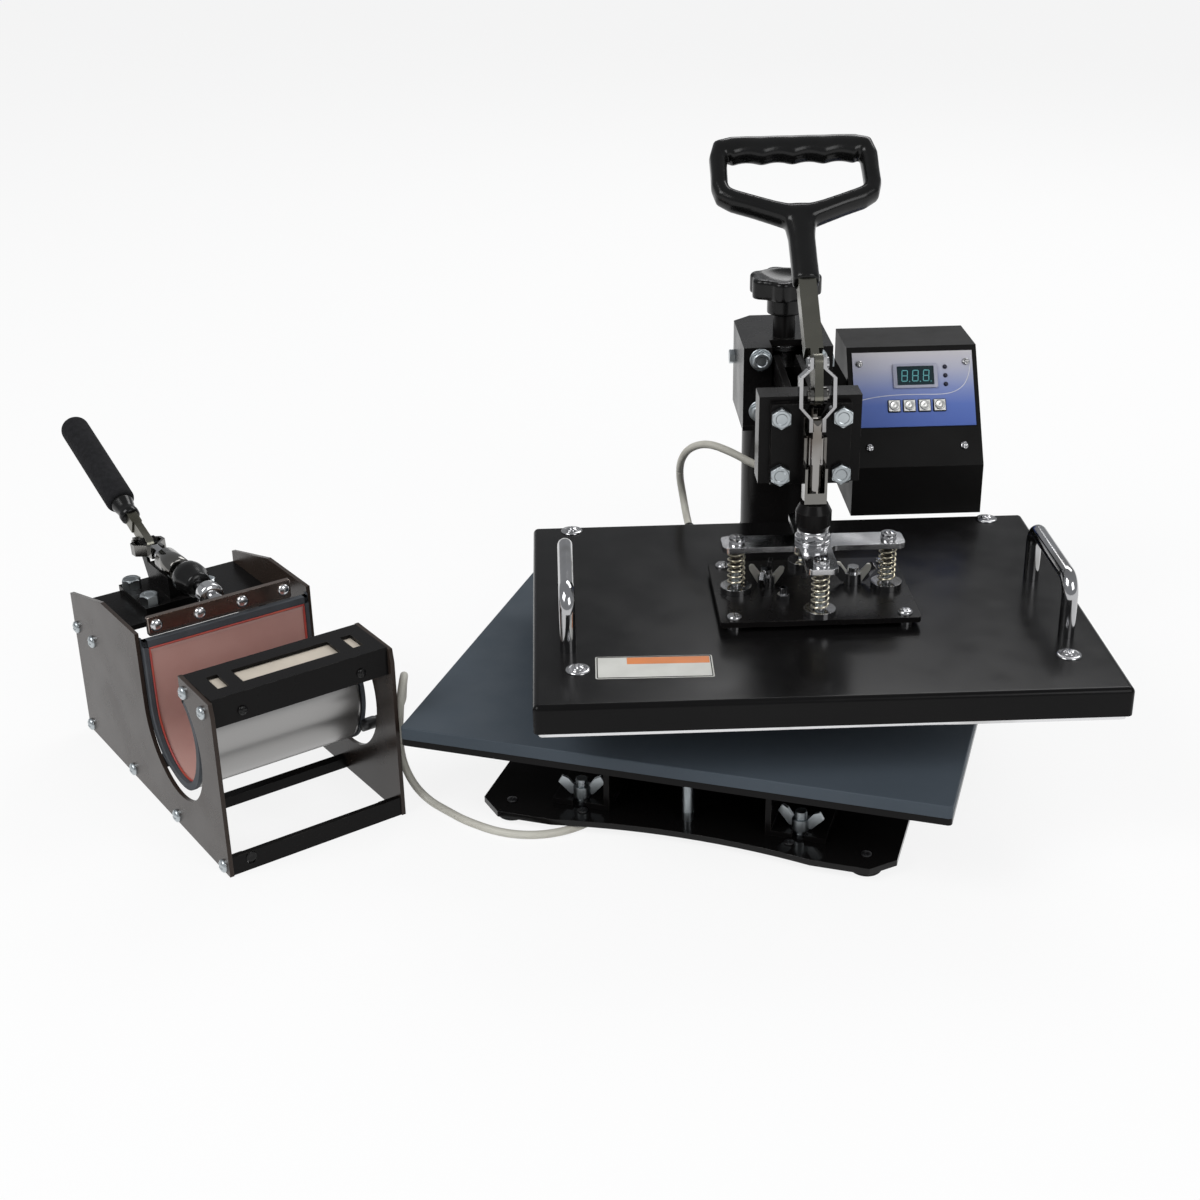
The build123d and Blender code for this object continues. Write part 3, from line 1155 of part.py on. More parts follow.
def make_grommet():
    wall = BOX_LEFT + BOX_WALL

    def ring(radius, start, end):
        return rod(radius, (start, GROMMET_Y, GROMMET_Z), (end, GROMMET_Y, GROMMET_Z))

    grommet = ring(GROMMET_R, BOX_LEFT - GROMMET_REACH, wall + 2)
    grommet += ring(GROMMET_R + GROMMET_LIP, BOX_LEFT - 2.5, BOX_LEFT)
    return grommet - ring(HEATER_LEAD_R + SEAT, BOX_LEFT - GROMMET_REACH - 1, wall + 3)


def make_box_back():
    """Back plate with the mains inlet and the power rocker, and the heater lead's grommet."""
    inside = BOX_WALL + SEAT
    back = BOX_BACK
    cover = block((BOX_LEFT + inside, BOX_RIGHT - inside), (back - BOX_WALL, back),
                  (BOX_BOTTOM + inside, BOX_TOP - inside))
    cover -= frame_block((ROCKER_X, ROCKER_Z), ROCKER_W / 2, ROCKER_H / 2, (back - BOX_WALL - 1, back + 1))
    cover -= frame_block((INLET_X, INLET_Z), INLET_HALF_W, INLET_HALF_H, (back - BOX_WALL - 1, back + 1))
    add("box_cover", HEAD, cover)
    add("box_connectors", HEAD, make_inlet(back), make_rocker_frame(back), make_grommet())

    half = ROCKER_H / 2 - ROCKER_RIM - CLEAR
    high = back + ROCKER_PROUD
    z = ROCKER_Z
    face = outline([(back + 1, z - half), (high, z), (high + 1.8, z + half),
                    (back - 1, z + half), (back - ROCKER_DEPTH, z), (back - 3, z - half)])
    face = face & (Pos(back - ROCKER_PIVOT_IN, z) * Circle(half))
    key_half = ROCKER_W / 2 - ROCKER_RIM - CLEAR
    add("power_rocker", HEAD, side(face, ROCKER_X - key_half, ROCKER_X + key_half))


# ---------------------------------------------------------------- mug press
def mug_profile():
    """Side plate: square rear ear, flat top, round cradle opened at the top."""
    left = (CRADLE_Y - CRADLE_R, CRADLE_Z)
    right = (CRADLE_Y + CRADLE_R, CRADLE_Z)
    lip = CRADLE_Z + math.sqrt(CRADLE_R ** 2 - (TOWER_BACK - CRADLE_Y) ** 2)
    bottom = ThreePointArc(left, (CRADLE_Y, CRADLE_Z - CRADLE_R), right)
    turn = math.radians(150)
    front = ThreePointArc((TOWER_BACK, lip), (CRADLE_Y + CRADLE_R * math.cos(turn),
                          CRADLE_Z + CRADLE_R * math.sin(turn)), left)
    edge = Polyline(
        right, (right[0], MUG_TOP), (MUG_EAR_Y, MUG_TOP), (MUG_L - 2, MUG_EAR_TIP), (MUG_L, 0), (0, 0),
        (0, MUG_TOP - 12), (2, MUG_TOP - 2), (TOWER_BACK, MUG_TOP - 1), (TOWER_BACK, lip),
    )
    return make_face([bottom, front, edge])


def mug_screw_places():
    """(y, z) of the screws through each side plate: crossbars, deck and front channel."""
    bars = [(y, BAR_H / 2 + 1) for y in (MUG_BAR_FRONT,) + MUG_BAR_Y]
    deck = [(MUG_DECK_FRONT + 29, MUG_DECK_SCREW_Z), (MUG_L - 7, MUG_DECK_SCREW_Z)]
    return bars + deck + [(14, MUG_TOP - 13), (44, MUG_TOP - 11)]


def make_mug_frame(screws):
    plate = mug_profile()
    plates = [side(plate, 0, MUG_PLATE_T), side(plate, MUG_W - MUG_PLATE_T, MUG_W)]
    inner = (MUG_PLATE_T, MUG_W - MUG_PLATE_T)
    bars = [block(inner, (y - BAR_W / 2, y + BAR_W / 2), (0, BAR_H)) for y in MUG_BAR_Y]
    front = block(inner, (1, 1 + FRONT_BAR_T), (0, FRONT_BAR_H))
    for x0 in (inner[0], inner[1] - 12):
        front += block((x0, x0 + 12), (1, MUG_BAR_FRONT + BAR_W / 2), (1, BAR_H + 1))
    front -= rod(3.0, (MUG_HOLE_X, 0, FRONT_BAR_H / 2), (MUG_HOLE_X, 6, FRONT_BAR_H / 2))
    bars.append(front)
    channel = make_mug_channel(inner)
    deck = block(inner, (MUG_DECK_FRONT, MUG_L - 2), (MUG_DECK_TOP - MUG_DECK_T, MUG_DECK_TOP))
    for x0 in (inner[0], inner[1] - 3):
        deck += block((x0, x0 + 3), (MUG_DECK_FRONT + 16, MUG_L - 2), (MUG_DECK_LUG_LOW, MUG_DECK_TOP))
    for y, z in mug_screw_places():
        for x, way in ((0, -1), (MUG_W, 1)):
            hole = rod(MUG_SCREW_R + SEAT, (x - 12, y, z), (x + 12, y, z))
            plates = [p - hole for p in plates]
            bars = [b - hole for b in bars]
            channel -= hole
            deck -= hole
            screw = toward((way, 0, 0), (x, y, z)) * dome_screw((0, 0), 0, MUG_SCREW_L, MUG_SCREW_R, 4.6, 2.4)
            screws.append(screw)
    for x, y in mug_tower_bolts():
        deck -= disc(MUG_SCREW_R + SEAT, (x, y), MUG_DECK_TOP - MUG_DECK_T - 1, MUG_DECK_TOP + 1)
    add("mug_side_plates", MUG, *plates)
    add("mug_crossbars", MUG, *bars)
    add("mug_front_channel", MUG, channel)
    add("mug_deck", MUG, deck)
    add("mug_frame_screws", MUG, *screws)


def make_mug_channel(inner):
    """Channel across the front, its slotted top crossed by two tabs."""
    top = MUG_TOP - 1
    t = TROUGH_T
    front, back = TROUGH_FRONT, TROUGH_BACK
    channel = block(inner, (front, back), (top - t, top))
    channel += block(inner, (front, front + t), (top - TROUGH_FRONT_H, top))
    channel += block(inner, (back - t, back), (top - TROUGH_BACK_H, top))
    for x0 in (inner[0], inner[1] - t):
        channel += block((x0, x0 + t), (front, back), (top - TROUGH_FRONT_H, top))
    slot = (front + TROUGH_SLOT_IN, back - TROUGH_SLOT_IN)
    channel -= block((TROUGH_SLOT_X, MUG_W - TROUGH_SLOT_X), slot, (top - t - 1, top + 1))
    for x in (TROUGH_TAB_X, MUG_W - TROUGH_TAB_X):
        tab = (x - TROUGH_TAB_HALF, x + TROUGH_TAB_HALF)
        channel += block(tab, (slot[0] - 1, slot[1] + 1), (top - t, top))
    return channel


def wrap_band(outer, inner):
    """Open-topped round band from the front tab round and up to the clamp strip, drawn in (y, z)."""
    ring = Circle(outer) - Circle(inner)
    opening = [(0, 0), (2 * WRAP_R * math.cos(math.radians(WRAP_FRONT_ANGLE)),
                        2 * WRAP_R * math.sin(math.radians(WRAP_FRONT_ANGLE))),
               (-WRAP_R, 3 * WRAP_R), (3 * WRAP_R, 3 * WRAP_R), (3 * WRAP_R, 0)]
    band = ring - outline(opening)
    rise = WRAP_BACK_TOP - WRAP_Z
    band += outline([(inner, 0), (outer, 0), (outer, rise), (inner, rise)])
    return Pos(WRAP_Y, WRAP_Z) * band


def make_mug_wrap():
    sheet = side(wrap_band(WRAP_R, WRAP_R - SHEET_T), WRAP_X0, WRAP_X1)
    end = math.radians(WRAP_FRONT_ANGLE)
    rim = [(WRAP_Y + r * math.cos(end), WRAP_Z + r * math.sin(end)) for r in (WRAP_R, WRAP_R - SHEET_T)]
    face, bend = TOWER_BACK - 1, MUG_TOP - 16
    tab = outline([rim[0], (face, bend), (face, MUG_TOP - 2), (face + SHEET_T, MUG_TOP - 2),
                   (face + SHEET_T, bend - 0.4), rim[1]])
    add("mug_wrap_sheet", MUG, sheet + side(tab, WRAP_X0 + 6, WRAP_X1 - 6))
    inner = WRAP_R - SHEET_T
    lining = side(wrap_band(inner, inner - LINING_T), WRAP_X0, WRAP_X1)
    add("mug_wrap_lining", MUG, lining)


def mug_boot():
    """Where the mug lead leaves the lining's right edge, as (y, z)."""
    turn = math.radians(BOOT_ANGLE)
    r = WRAP_R - SHEET_T - LINING_T / 2
    return WRAP_Y + r * math.cos(turn), WRAP_Z + r * math.sin(turn)


def mug_tower_bolts():
    return [(MUG_AXIS_X + x, y) for x in (-23, 23) for y in (216, 252)]


def make_mug_toggle():
    to_mug = Location((MUG_AXIS_X, MUG_PIN_Y, MUG_AXIS_Z), (-90, 0, 0))
    place = MUG * to_mug
    tip, foot = crank_tip(MUG_CRANK, MUG_CRANK_REST), link_foot(MUG_CRANK, MUG_LINK_L, MUG_CRANK_REST)
    deck = MUG_AXIS_Z - MUG_DECK_TOP                       # depth of the deck below the rod, toward +Y here
    low, high = MUG_GUIDE_FRONT - MUG_PIN_Y, MUG_GUIDE_BACK - MUG_PIN_Y
    tube = pipe(MUG_GUIDE_R, ROD_R + RUN, (0, 0), low, MUG_TUBE_BACK - MUG_PIN_Y)
    root = [(deck - 7, high - 6), (deck - 5, high - 6), (deck - 5, high), (deck - 7, high)]
    lugs = pivot_lugs(LUG_R, root)
    tower = block((-MUG_TOWER_HALF, MUG_TOWER_HALF), (MUG_GUIDE_R - 2, deck - 5), (low + 8, high - 10))
    gap = LEVER_HALF_T + LUG_GAP + LUG_T
    tower += block((-gap, gap), (deck - 11, deck - 5), (high - 30, high))
    base = block((-MUG_BASE_HALF, MUG_BASE_HALF), (deck - 5, deck), (low + 2, high))
    tower += base
    bolts = []
    for x, y in mug_tower_bolts():
        at = (x - MUG_AXIS_X, deck - 5, y - MUG_PIN_Y)
        tower -= rod(MUG_SCREW_R + SEAT, at, (at[0], deck + 1, at[2]))
        bolt = toward((0, -1, 0), at) * hex_bolt((0, 0), 0, 5 + MUG_DECK_T, MUG_SCREW_R, 8.0, 3.5)
        bolts.append(to_mug * bolt)
    tower -= disc(ROD_R + RUN, (0, 0), low - 1, high + 1)
    add("mug_toggle_body", place, tube + tower + lugs)

    lever = lever_plate(tip, -MUG_LEAN, MUG_BOSS_R, MUG_STEM_START, MUG_GRIP_END - 20, MUG_STEM_HALF,
                        MUG_STEM_DEPTH)
    add("mug_lever", place, lever)
    add("mug_grip", place * Rot(MUG_LEAN, 0, 0), make_mug_grip())
    add("mug_links", place, link_yoke(tip, foot))
    nut = MUG_NUT_FRONT - MUG_PIN_Y
    add("mug_plunger", place, round_rod(foot, STRIP_BACK - MUG_PIN_Y),
        nose(MUG_NOSE_FRONT - MUG_PIN_Y, MUG_NOSE_BACK - MUG_PIN_Y),
        pipe_hexagon(ROD_NUT_AF, ROD_R, nut, nut + ROD_NUT_H))

    strip = block((STRIP_X0, STRIP_X1), (STRIP_BACK - STRIP_T, STRIP_BACK), (STRIP_BOTTOM, STRIP_TOP))
    strip += block((MUG_AXIS_X - 16, MUG_AXIS_X + 16), (STRIP_BACK - STRIP_T - 3, STRIP_BACK - STRIP_T),
                   (STRIP_BOTTOM, STRIP_TOP))
    for n in range(4):
        x = STRIP_X0 + STRIP_SCREW_IN + n * (STRIP_X1 - STRIP_X0 - 2 * STRIP_SCREW_IN) / 3
        screw = dome_screw((0, 0), 0, STRIP_T - 1, 2.0, 4.2, 2.4)
        strip += toward((0, 0, 1), (x, STRIP_BACK - STRIP_T / 2, STRIP_TOP)) * screw
    add("mug_clamp_strip", MUG, strip)
    return bolts


def make_mug_grip():
    """Foam sleeve with rounded ends over the lever's far end."""
    grip = disc(MUG_GRIP_R, (0, 0), MUG_GRIP_START, MUG_GRIP_END)
    ends = grip.edges().group_by(Axis.Z)
    grip = fillet(ends[-1], MUG_GRIP_R * 0.8)
    grip = fillet(grip.edges().group_by(Axis.Z)[0], 3.0)
    half, depth = MUG_STEM_HALF + SEAT, MUG_STEM_DEPTH / 2 + SEAT
    return grip - block((-half, half), (-depth, depth), (MUG_GRIP_START - 1, MUG_GRIP_END - 20 + SEAT))


# ---------------------------------------------------------------- leads
def bend_radii(points):
    """Each bend takes nearly half of the shorter run beside it."""
    radii = []
    for before, at, after in zip(points, points[1:], points[2:]):
        a, b = Vector(*at) - Vector(*before), Vector(*after) - Vector(*at)
        half = math.radians(a.get_angle(b)) / 2
        radii.append(0.45 * min(a.length, b.length) / math.tan(half))
    return radii


def lead(label, points, radius):
    path = FilletPolyline(*points, radius=bend_radii(points))
    start = Plane(origin=points[0], z_dir=path % 0)
    tube = sweep(start * Circle(radius), path=path)
    full = math.pi * radius ** 2 * path.length
    print(label, "length", round(path.length), "volume ratio", round(tube.volume / full, 4))
    print("  radii in diameters:", [round(r / radius / 2, 1) for r in bend_radii(points)])
    return tube


HEATER_ROUTE = [                       # from the swing axis, in the head's frame
    (43.0, 21.0, 158.3), (38.0, 10.0, 160.0), (37.0, -6.0, 163.0), (30.0, -24.0, 168.0), (14.0, -38.0, 174.0),
    (-6.0, -45.0, 181.0), (-26.0, -46.0, 191.0), (-44.0, -40.0, 200.0), (-61.0, -30.0, 204.0),
    (-74.0, -17.0, 196.0), (-80.0, -4.0, 181.0), (-80.0, 8.0, 163.0), (-77.0, 11.0, 145.0),
    (-75.0, 2.0, 132.0), (-74.0, -9.0, GLAND_Z),
]
MUG_ROUTE = [                          # from the swing axis, square to the base
    (-220.0, -264.5, 62.0), (-218.0, -266.0, 78.0), (-213.0, -273.0, 91.0), (-208.5, -284.0, 95.0),
    (-207.0, -294.0, 86.0), (-207.5, -297.0, 72.0), (-209.0, -297.0, 56.0), (-209.5, -296.0, 40.0),
    (-206.0, -296.0, 25.0), (-199.0, -296.0, 12.0), (-188.0, -298.0, 4.0), (-173.0, -305.0, LEAD_Z),
    (-153.0, -315.0, LEAD_Z), (-123.0, -323.0, LEAD_Z), (-95.5, -318.0, LEAD_Z), (-73.0, -300.0, LEAD_Z),
    (-57.0, -268.0, LEAD_Z), (-47.0, -212.0, LEAD_Z), (-25.0, -156.0, LEAD_Z), (-17.0, -98.0, LEAD_Z),
    (-25.0, -38.0, LEAD_Z), (-29.0, 22.0, LEAD_Z), (-25.0, 76.0, LEAD_Z),
]

TAIL_ROUTE = [                         # from the coil's far side to the plug
    (COIL_X + 14, COIL_Y + COIL_MID_R, LEAD_Z), (COIL_X + 38, COIL_Y + COIL_MID_R + 2, LEAD_Z),
    (COIL_X + 62, COIL_Y + COIL_MID_R - 6, PLUG_Z), (COIL_X + 82, COIL_Y + COIL_MID_R - 22, PLUG_Z),
]


def make_leads():
    end = (GLAND_X, COVER_BACK + GLAND_L + CLEAR, GLAND_Z)
    start = (BOX_LEFT - GROMMET_REACH, GROMMET_Y, GROMMET_Z)
    route = [start] + HEATER_ROUTE + [end]
    add("heater_lead", HEAD, lead("heater_lead", route, HEATER_LEAD_R))

    boot = mug_boot()
    out = WRAP_X1 + BOOT_OUT
    mouth = (PRESS.inverse() * MUG * Pos(out, *boot)).position
    shell = rod(BOOT_R, (WRAP_X1, *boot), (out - 3, *boot))
    shell += rod(BOOT_R - 1.2, (out - 3, *boot), (out, *boot))
    turn = COIL_MID_R + COIL_BAND * LEAD_R
    inner = COIL_MID_R - COIL_BAND * LEAD_R
    low = LEAD_Z - LEAD_R
    coil = pipe(turn, inner, (COIL_X, COIL_Y), low, low + COIL_BAND * 2 * LEAD_R)
    away = (PRESS.inverse() * MUG * Pos(out + BOOT_RUN, *boot)).position
    route = [tuple(mouth), tuple(away)] + MUG_ROUTE + [(COIL_X - COIL_MID_R, COIL_Y - 18, LEAD_Z)]
    tube = lead("mug_lead", route, LEAD_R) - coil
    tail = lead("mug_lead tail", TAIL_ROUTE, LEAD_R) - coil
    add("mug_lead", PRESS, tube.solids().sort_by(SortBy.VOLUME)[-1], tail.solids().sort_by(SortBy.VOLUME)[-1])
    add("mug_lead_coil", PRESS, coil)
    last = Vector(*TAIL_ROUTE[-1])
    place = Plane(origin=last, z_dir=last - Vector(*TAIL_ROUTE[-2])).location
    add("mug_lead_ends", PRESS, PRESS.inverse() * MUG * shell, place * make_plug())


def make_plug():
    """Round three-pin connector, drawn along +Z from the end of the lead."""
    plug = disc(LEAD_R + PLUG_SLEEVE, (0, 0), 0, PLUG_NECK) + disc(PLUG_R, (0, 0), PLUG_NECK, PLUG_L)
    plug -= disc(PLUG_R - PLUG_WALL, (0, 0), PLUG_L - PLUG_MOUTH, PLUG_L + 1)
    for angle in (90, 210, 330):
        turn = math.radians(angle)
        at = (PLUG_PIN_RING * math.cos(turn), PLUG_PIN_RING * math.sin(turn))
        plug += disc(PLUG_PIN_R, at, PLUG_L - PLUG_MOUTH - 1, PLUG_L - 2)
    return plug


# ---------------------------------------------------------------- build
def main():
    make_base()
    make_lower_platen()
    make_column()
    make_sleeve()
    head_bolts = make_housing()
    make_pressure_screw()
    make_clamp_arm()
    make_bracket()
    foot = make_toggle()
    make_plunger(foot)
    make_mount(make_spring_pack())
    make_heater()
    make_lift_handles()
    make_control_box(head_bolts)
    make_mug_wrap()
    make_mug_frame(make_mug_toggle())
    make_leads()
    os.makedirs("parts", exist_ok=True)
    for name, node in NODES.items():
        export_step(node, f"parts/{name}.step")


main()
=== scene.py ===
"""Swing-away heat press with a mug press beside it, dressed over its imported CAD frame."""
import math

import bpy
from mathutils import Matrix, Vector


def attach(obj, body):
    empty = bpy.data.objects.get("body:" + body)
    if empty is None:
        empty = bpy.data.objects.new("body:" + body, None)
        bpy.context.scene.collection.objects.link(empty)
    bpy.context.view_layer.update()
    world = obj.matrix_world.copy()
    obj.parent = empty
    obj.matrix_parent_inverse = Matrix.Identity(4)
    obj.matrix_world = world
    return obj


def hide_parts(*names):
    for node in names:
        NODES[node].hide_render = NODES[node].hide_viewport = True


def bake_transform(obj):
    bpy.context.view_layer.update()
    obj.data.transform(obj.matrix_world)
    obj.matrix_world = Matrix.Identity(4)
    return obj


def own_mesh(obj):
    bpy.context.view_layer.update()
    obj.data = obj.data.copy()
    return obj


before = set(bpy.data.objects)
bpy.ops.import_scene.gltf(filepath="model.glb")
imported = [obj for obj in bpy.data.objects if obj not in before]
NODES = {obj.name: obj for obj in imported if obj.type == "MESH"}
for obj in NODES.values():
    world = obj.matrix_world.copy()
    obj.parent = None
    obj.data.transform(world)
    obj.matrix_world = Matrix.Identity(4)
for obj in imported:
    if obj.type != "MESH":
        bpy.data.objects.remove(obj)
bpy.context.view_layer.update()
SCENE = bpy.context.scene

# ---- places
PRESS = Matrix.Translation((0.1456, 0.1326, 0))
HEAD = PRESS @ Matrix.Rotation(math.radians(19.5), 4, "Z")
MUG = Matrix.Translation((-0.1374, -0.2888, 0)) @ Matrix.Rotation(math.radians(52.8), 4, "Z")


def at(place, x, y, z):
    """A point given in mm in one of the places, in metres in the shared frame."""
    return place @ Vector((x / 1000, y / 1000, z / 1000))


def placed(place, x, y, z, spin=0.0):
    """Frame at a point of a place, in mm, turned about its Z by this many degrees."""
    moved = place @ Matrix.Translation((x / 1000, y / 1000, z / 1000))
    return moved @ Matrix.Rotation(math.radians(spin), 4, "Z")


def facing(place, centre, axis):
    """Frame at a point of a place, its Z along an axis of that place."""
    turn = Vector(axis).normalized().to_track_quat("Z", "Y").to_matrix().to_4x4()
    return place @ Matrix.Translation(Vector(centre) / 1000) @ turn


# ---- objects and meshes
def put(name, data):
    """A new object in the scene."""
    thing = bpy.data.objects.new(name, data)
    SCENE.collection.objects.link(thing)
    return thing


def joined(name, parts):
    """One mesh from several lists of points and faces."""
    verts, faces = [], []
    for points, polygons in parts:
        base = len(verts)
        verts += [tuple(point) for point in points]
        faces += [tuple(i + base for i in polygon) for polygon in polygons]
    mesh = bpy.data.meshes.new(name)
    mesh.from_pydata(verts, [], faces)
    mesh.validate()
    return mesh


def evaluated(thing):
    """The mesh that an object's curve or its modifiers give."""
    return bpy.data.meshes.new_from_object(thing.evaluated_get(bpy.context.evaluated_depsgraph_get()))


# ---- materials
EDGE_LIGHTEN_REACH = 0.0006  # metres from an edge that its paint is lightened, as rubbed paint and a painted highlight
EDGE_LIGHTEN_GRAIN = 90.0  # scale of the noise that breaks the lighter edges up


def assign(node, **values):
    """Values of a node's inputs; an underscore stands for a space."""
    for key, value in values.items():
        node.inputs[key.replace("_", " ")].default_value = value


class Shader:
    """One node material: principled surface with grain, edges lightened by wear and a painted highlight,
    and bump.
    """

    def __init__(self, name, colour, rough, metal=0.0, level=0.5):
        self.mat = bpy.data.materials.new(name)
        self.mat.use_nodes = True
        self.tree = self.mat.node_tree
        self.tree.nodes.clear()
        self.out = self.add("OutputMaterial")
        self.bsdf = self.add("BsdfPrincipled")
        self.link(self.bsdf, "BSDF", self.out, "Surface")
        self.colour = tuple(colour) + (1.0,)
        assign(self.bsdf, Base_Color=self.colour, Roughness=rough, Metallic=metal, Specular_IOR_Level=level)
        self.rough = rough
        self.coords = self.add("TexCoord")
        self.top = None  # last colour socket
        self.normal = None

    def add(self, kind, **values):
        node = self.tree.nodes.new("ShaderNode" + kind)
        for key, value in values.items():
            setattr(node, key, value)
        return node

    def link(self, a, out, b, into):
        self.tree.links.new(a.outputs[out], b.inputs[into])

    def space(self, stretch=(1, 1, 1), kind="Object"):
        """Coordinates of the piece, drawn out along its axes."""
        mapping = self.add("Mapping")
        assign(mapping, Scale=stretch)
        self.link(self.coords, kind, mapping, "Vector")
        return mapping

    def noise(self, scale, stretch=(1, 1, 1), detail=3.0):
        texture = self.add("TexNoise")
        assign(texture, Scale=scale, Detail=detail)
        self.link(self.space(stretch), "Vector", texture, "Vector")
        return texture

    def ramp(self, source, low, high, to_low=0.0, to_high=1.0, out="Fac"):
        """A source's span from low to high, as another span."""
        span = self.add("MapRange")
        assign(span, From_Min=low, From_Max=high, To_Min=to_low, To_Max=to_high)
        self.link(source, out, span, "Value")
        return span

    def join(self, operation, *sources):
        """Math node over pairs of a node and its output."""
        node = self.add("Math", operation=operation)
        for n, (source, out) in enumerate(sources):
            self.link(source, out, node, n)
        return node

    def mix(self, factor, other, out="Result"):
        """Lays another colour over what is there, by a factor node."""
        blend = self.add("Mix", data_type="RGBA")
        self.link(factor, out, blend, "Factor")
        if self.top is None:
            blend.inputs[6].default_value = self.colour
        else:
            self.tree.links.new(self.top, blend.inputs[6])
        blend.inputs[7].default_value = tuple(other) + (1.0,)
        self.top = blend.outputs[2]
        self.tree.links.new(self.top, self.bsdf.inputs["Base Color"])
        return self

    def vary(self, other, scale, low=0.35, high=0.65):
        """Another colour in the patches where a noise is high."""
        return self.mix(self.ramp(self.noise(scale), low, high), other)

    def sheen(self, scale, spread, stretch=(1, 1, 1)):
        """Roughness that wanders this far to each side."""
        span = self.ramp(self.noise(scale, stretch), 0.3, 0.7, self.rough - spread, self.rough + spread)
        self.link(span, "Result", self.bsdf, "Roughness")
        return self

    def rounded(self, radius):
        """Edges shaded as if eased by this radius, in metres."""
        bevel = self.add("Bevel", samples=4)
        assign(bevel, Radius=radius)
        self.normal = bevel.outputs["Normal"]
        self.tree.links.new(self.normal, self.bsdf.inputs["Normal"])
        return self

    def edge_wear_and_highlight(self, other, amount):
        """Edges lightened to another colour, broken up by noise: rubbed paint, and a painted highlight
        along them.
        """
        geometry = self.add("NewGeometry")
        wide = self.add("Bevel", samples=4)
        assign(wide, Radius=EDGE_LIGHTEN_REACH)
        dot = self.add("VectorMath", operation="DOT_PRODUCT")
        self.link(wide, "Normal", dot, 0)
        self.link(geometry, "Normal", dot, 1)
        edge = self.ramp(dot, 0.985, 0.80, 0.0, amount, out="Value")
        patch = self.ramp(self.noise(EDGE_LIGHTEN_GRAIN), 0.42, 0.62)
        both = self.join("MULTIPLY", (edge, "Result"), (patch, "Result"))
        return self.mix(both, other, out="Value")

    def bump(self, texture, depth, strength=1.0):
        """Relief of this depth in metres, after a texture."""
        node = self.add("Bump")
        assign(node, Distance=depth, Strength=strength)
        self.link(texture, "Fac", node, "Height")
        if self.normal is not None:
            self.tree.links.new(self.normal, node.inputs["Normal"])
        self.normal = node.outputs["Normal"]
        self.tree.links.new(self.normal, self.bsdf.inputs["Normal"])
        return self


def paint(name, colour, rough, level, grain=700, depth=0.00002, edge_lightening=0.35):
    """Painted steel: a fine grain, and edges lightened to grey, as worn paint and a painted highlight."""
    s = Shader(name, colour, rough, level=level)
    s.vary([c * 1.5 for c in colour], 9, 0.3, 0.8)
    s.sheen(30, 0.05)
    if edge_lightening:
        s.rounded(0.0004)
        # lighter grey edges: worn paint, and a painted highlight along them
        s.edge_wear_and_highlight((0.16, 0.15, 0.14), edge_lightening)
    return s.bump(s.noise(grain, detail=2), depth).mat if depth else s.mat


def bright(name, colour, rough, grain=(1, 1, 1), stain=(0.35, 0.34, 0.33), eased=True, metal=1.0):
    """Bare or plated metal with duller patches and a grain that may run one way."""
    s = Shader(name, colour, rough, metal=metal)
    if eased:
        s.rounded(0.0003)
    s.vary(stain, 22, 0.52, 0.80)
    s.sheen(60, 0.05, stretch=grain)
    return s.bump(s.noise(400, stretch=grain, detail=2), 0.000012).mat


M = {}
M["paint"] = paint("black_paint", (0.0050, 0.0046, 0.0046), 0.26, 0.10)
M["gloss"] = paint("gloss_paint", (0.0045, 0.0042, 0.0042), 0.13, 0.22, depth=0.000008)
M["cover"] = paint("cover_paint", (0.0042, 0.0040, 0.0041), 0.22, 0.115, depth=0.0, edge_lightening=0.0)
M["side"] = paint("side_paint", (0.028, 0.0198, 0.0158), 0.26, 0.20, depth=0.0)
M["box"] = paint("box_paint", (0.0045, 0.0042, 0.0040), 0.46, 0.11, grain=900, depth=0.00004)
M["chrome"] = bright("chrome", (0.46, 0.46, 0.47), 0.10, stain=(0.22, 0.21, 0.20))
M["smoke"] = bright("dark_chrome", (0.19, 0.185, 0.175), 0.12, stain=(0.09, 0.08, 0.07))
M["rod"] = bright("rod_chrome", (0.30, 0.29, 0.28), 0.07, stain=(0.16, 0.14, 0.12), eased=False)
M["nut"] = bright("cast_nut", (0.62, 0.61, 0.56), 0.40, stain=(0.50, 0.48, 0.42), metal=0.7)
M["silver"] = bright("silver_plate", (0.66, 0.66, 0.67), 0.16, stain=(0.44, 0.44, 0.45))
M["zinc"] = bright("zinc", (0.50, 0.54, 0.56), 0.32, stain=(0.26, 0.29, 0.31))
M["steel"] = bright("steel", (0.50, 0.50, 0.50), 0.28, grain=(1, 1, 8))
M["lever"] = bright("lever_plate", (0.20, 0.195, 0.165), 0.26, stain=(0.10, 0.095, 0.07))
M["stainless"] = Shader("stainless", (0.31, 0.305, 0.30), 0.30, metal=1.0).vary(
    (0.36, 0.355, 0.35), 4, 0.3, 0.7).mat
M["bronze"] = bright("bronze", (0.45, 0.30, 0.13), 0.35)
M["aluminium"] = bright("aluminium", (0.78, 0.78, 0.79), 0.30, grain=(30, 1, 1))
M["element"] = bright("element", (0.30, 0.28, 0.27), 0.5)


def soft(name, colour, other, rough, grain, depth, tint=14, level=0.3, glow=0.0):
    """Plastic, rubber, foam or cloth in two near colours, which may give light of its own."""
    s = Shader(name, colour, rough, level=level)
    if glow:
        assign(s.bsdf, Emission_Color=(*colour, 1), Emission_Strength=glow)
    s.rounded(0.0005)
    s.vary(other, tint, 0.35, 0.75)
    s.sheen(40, 0.06)
    return s.bump(s.noise(grain, detail=4), depth).mat


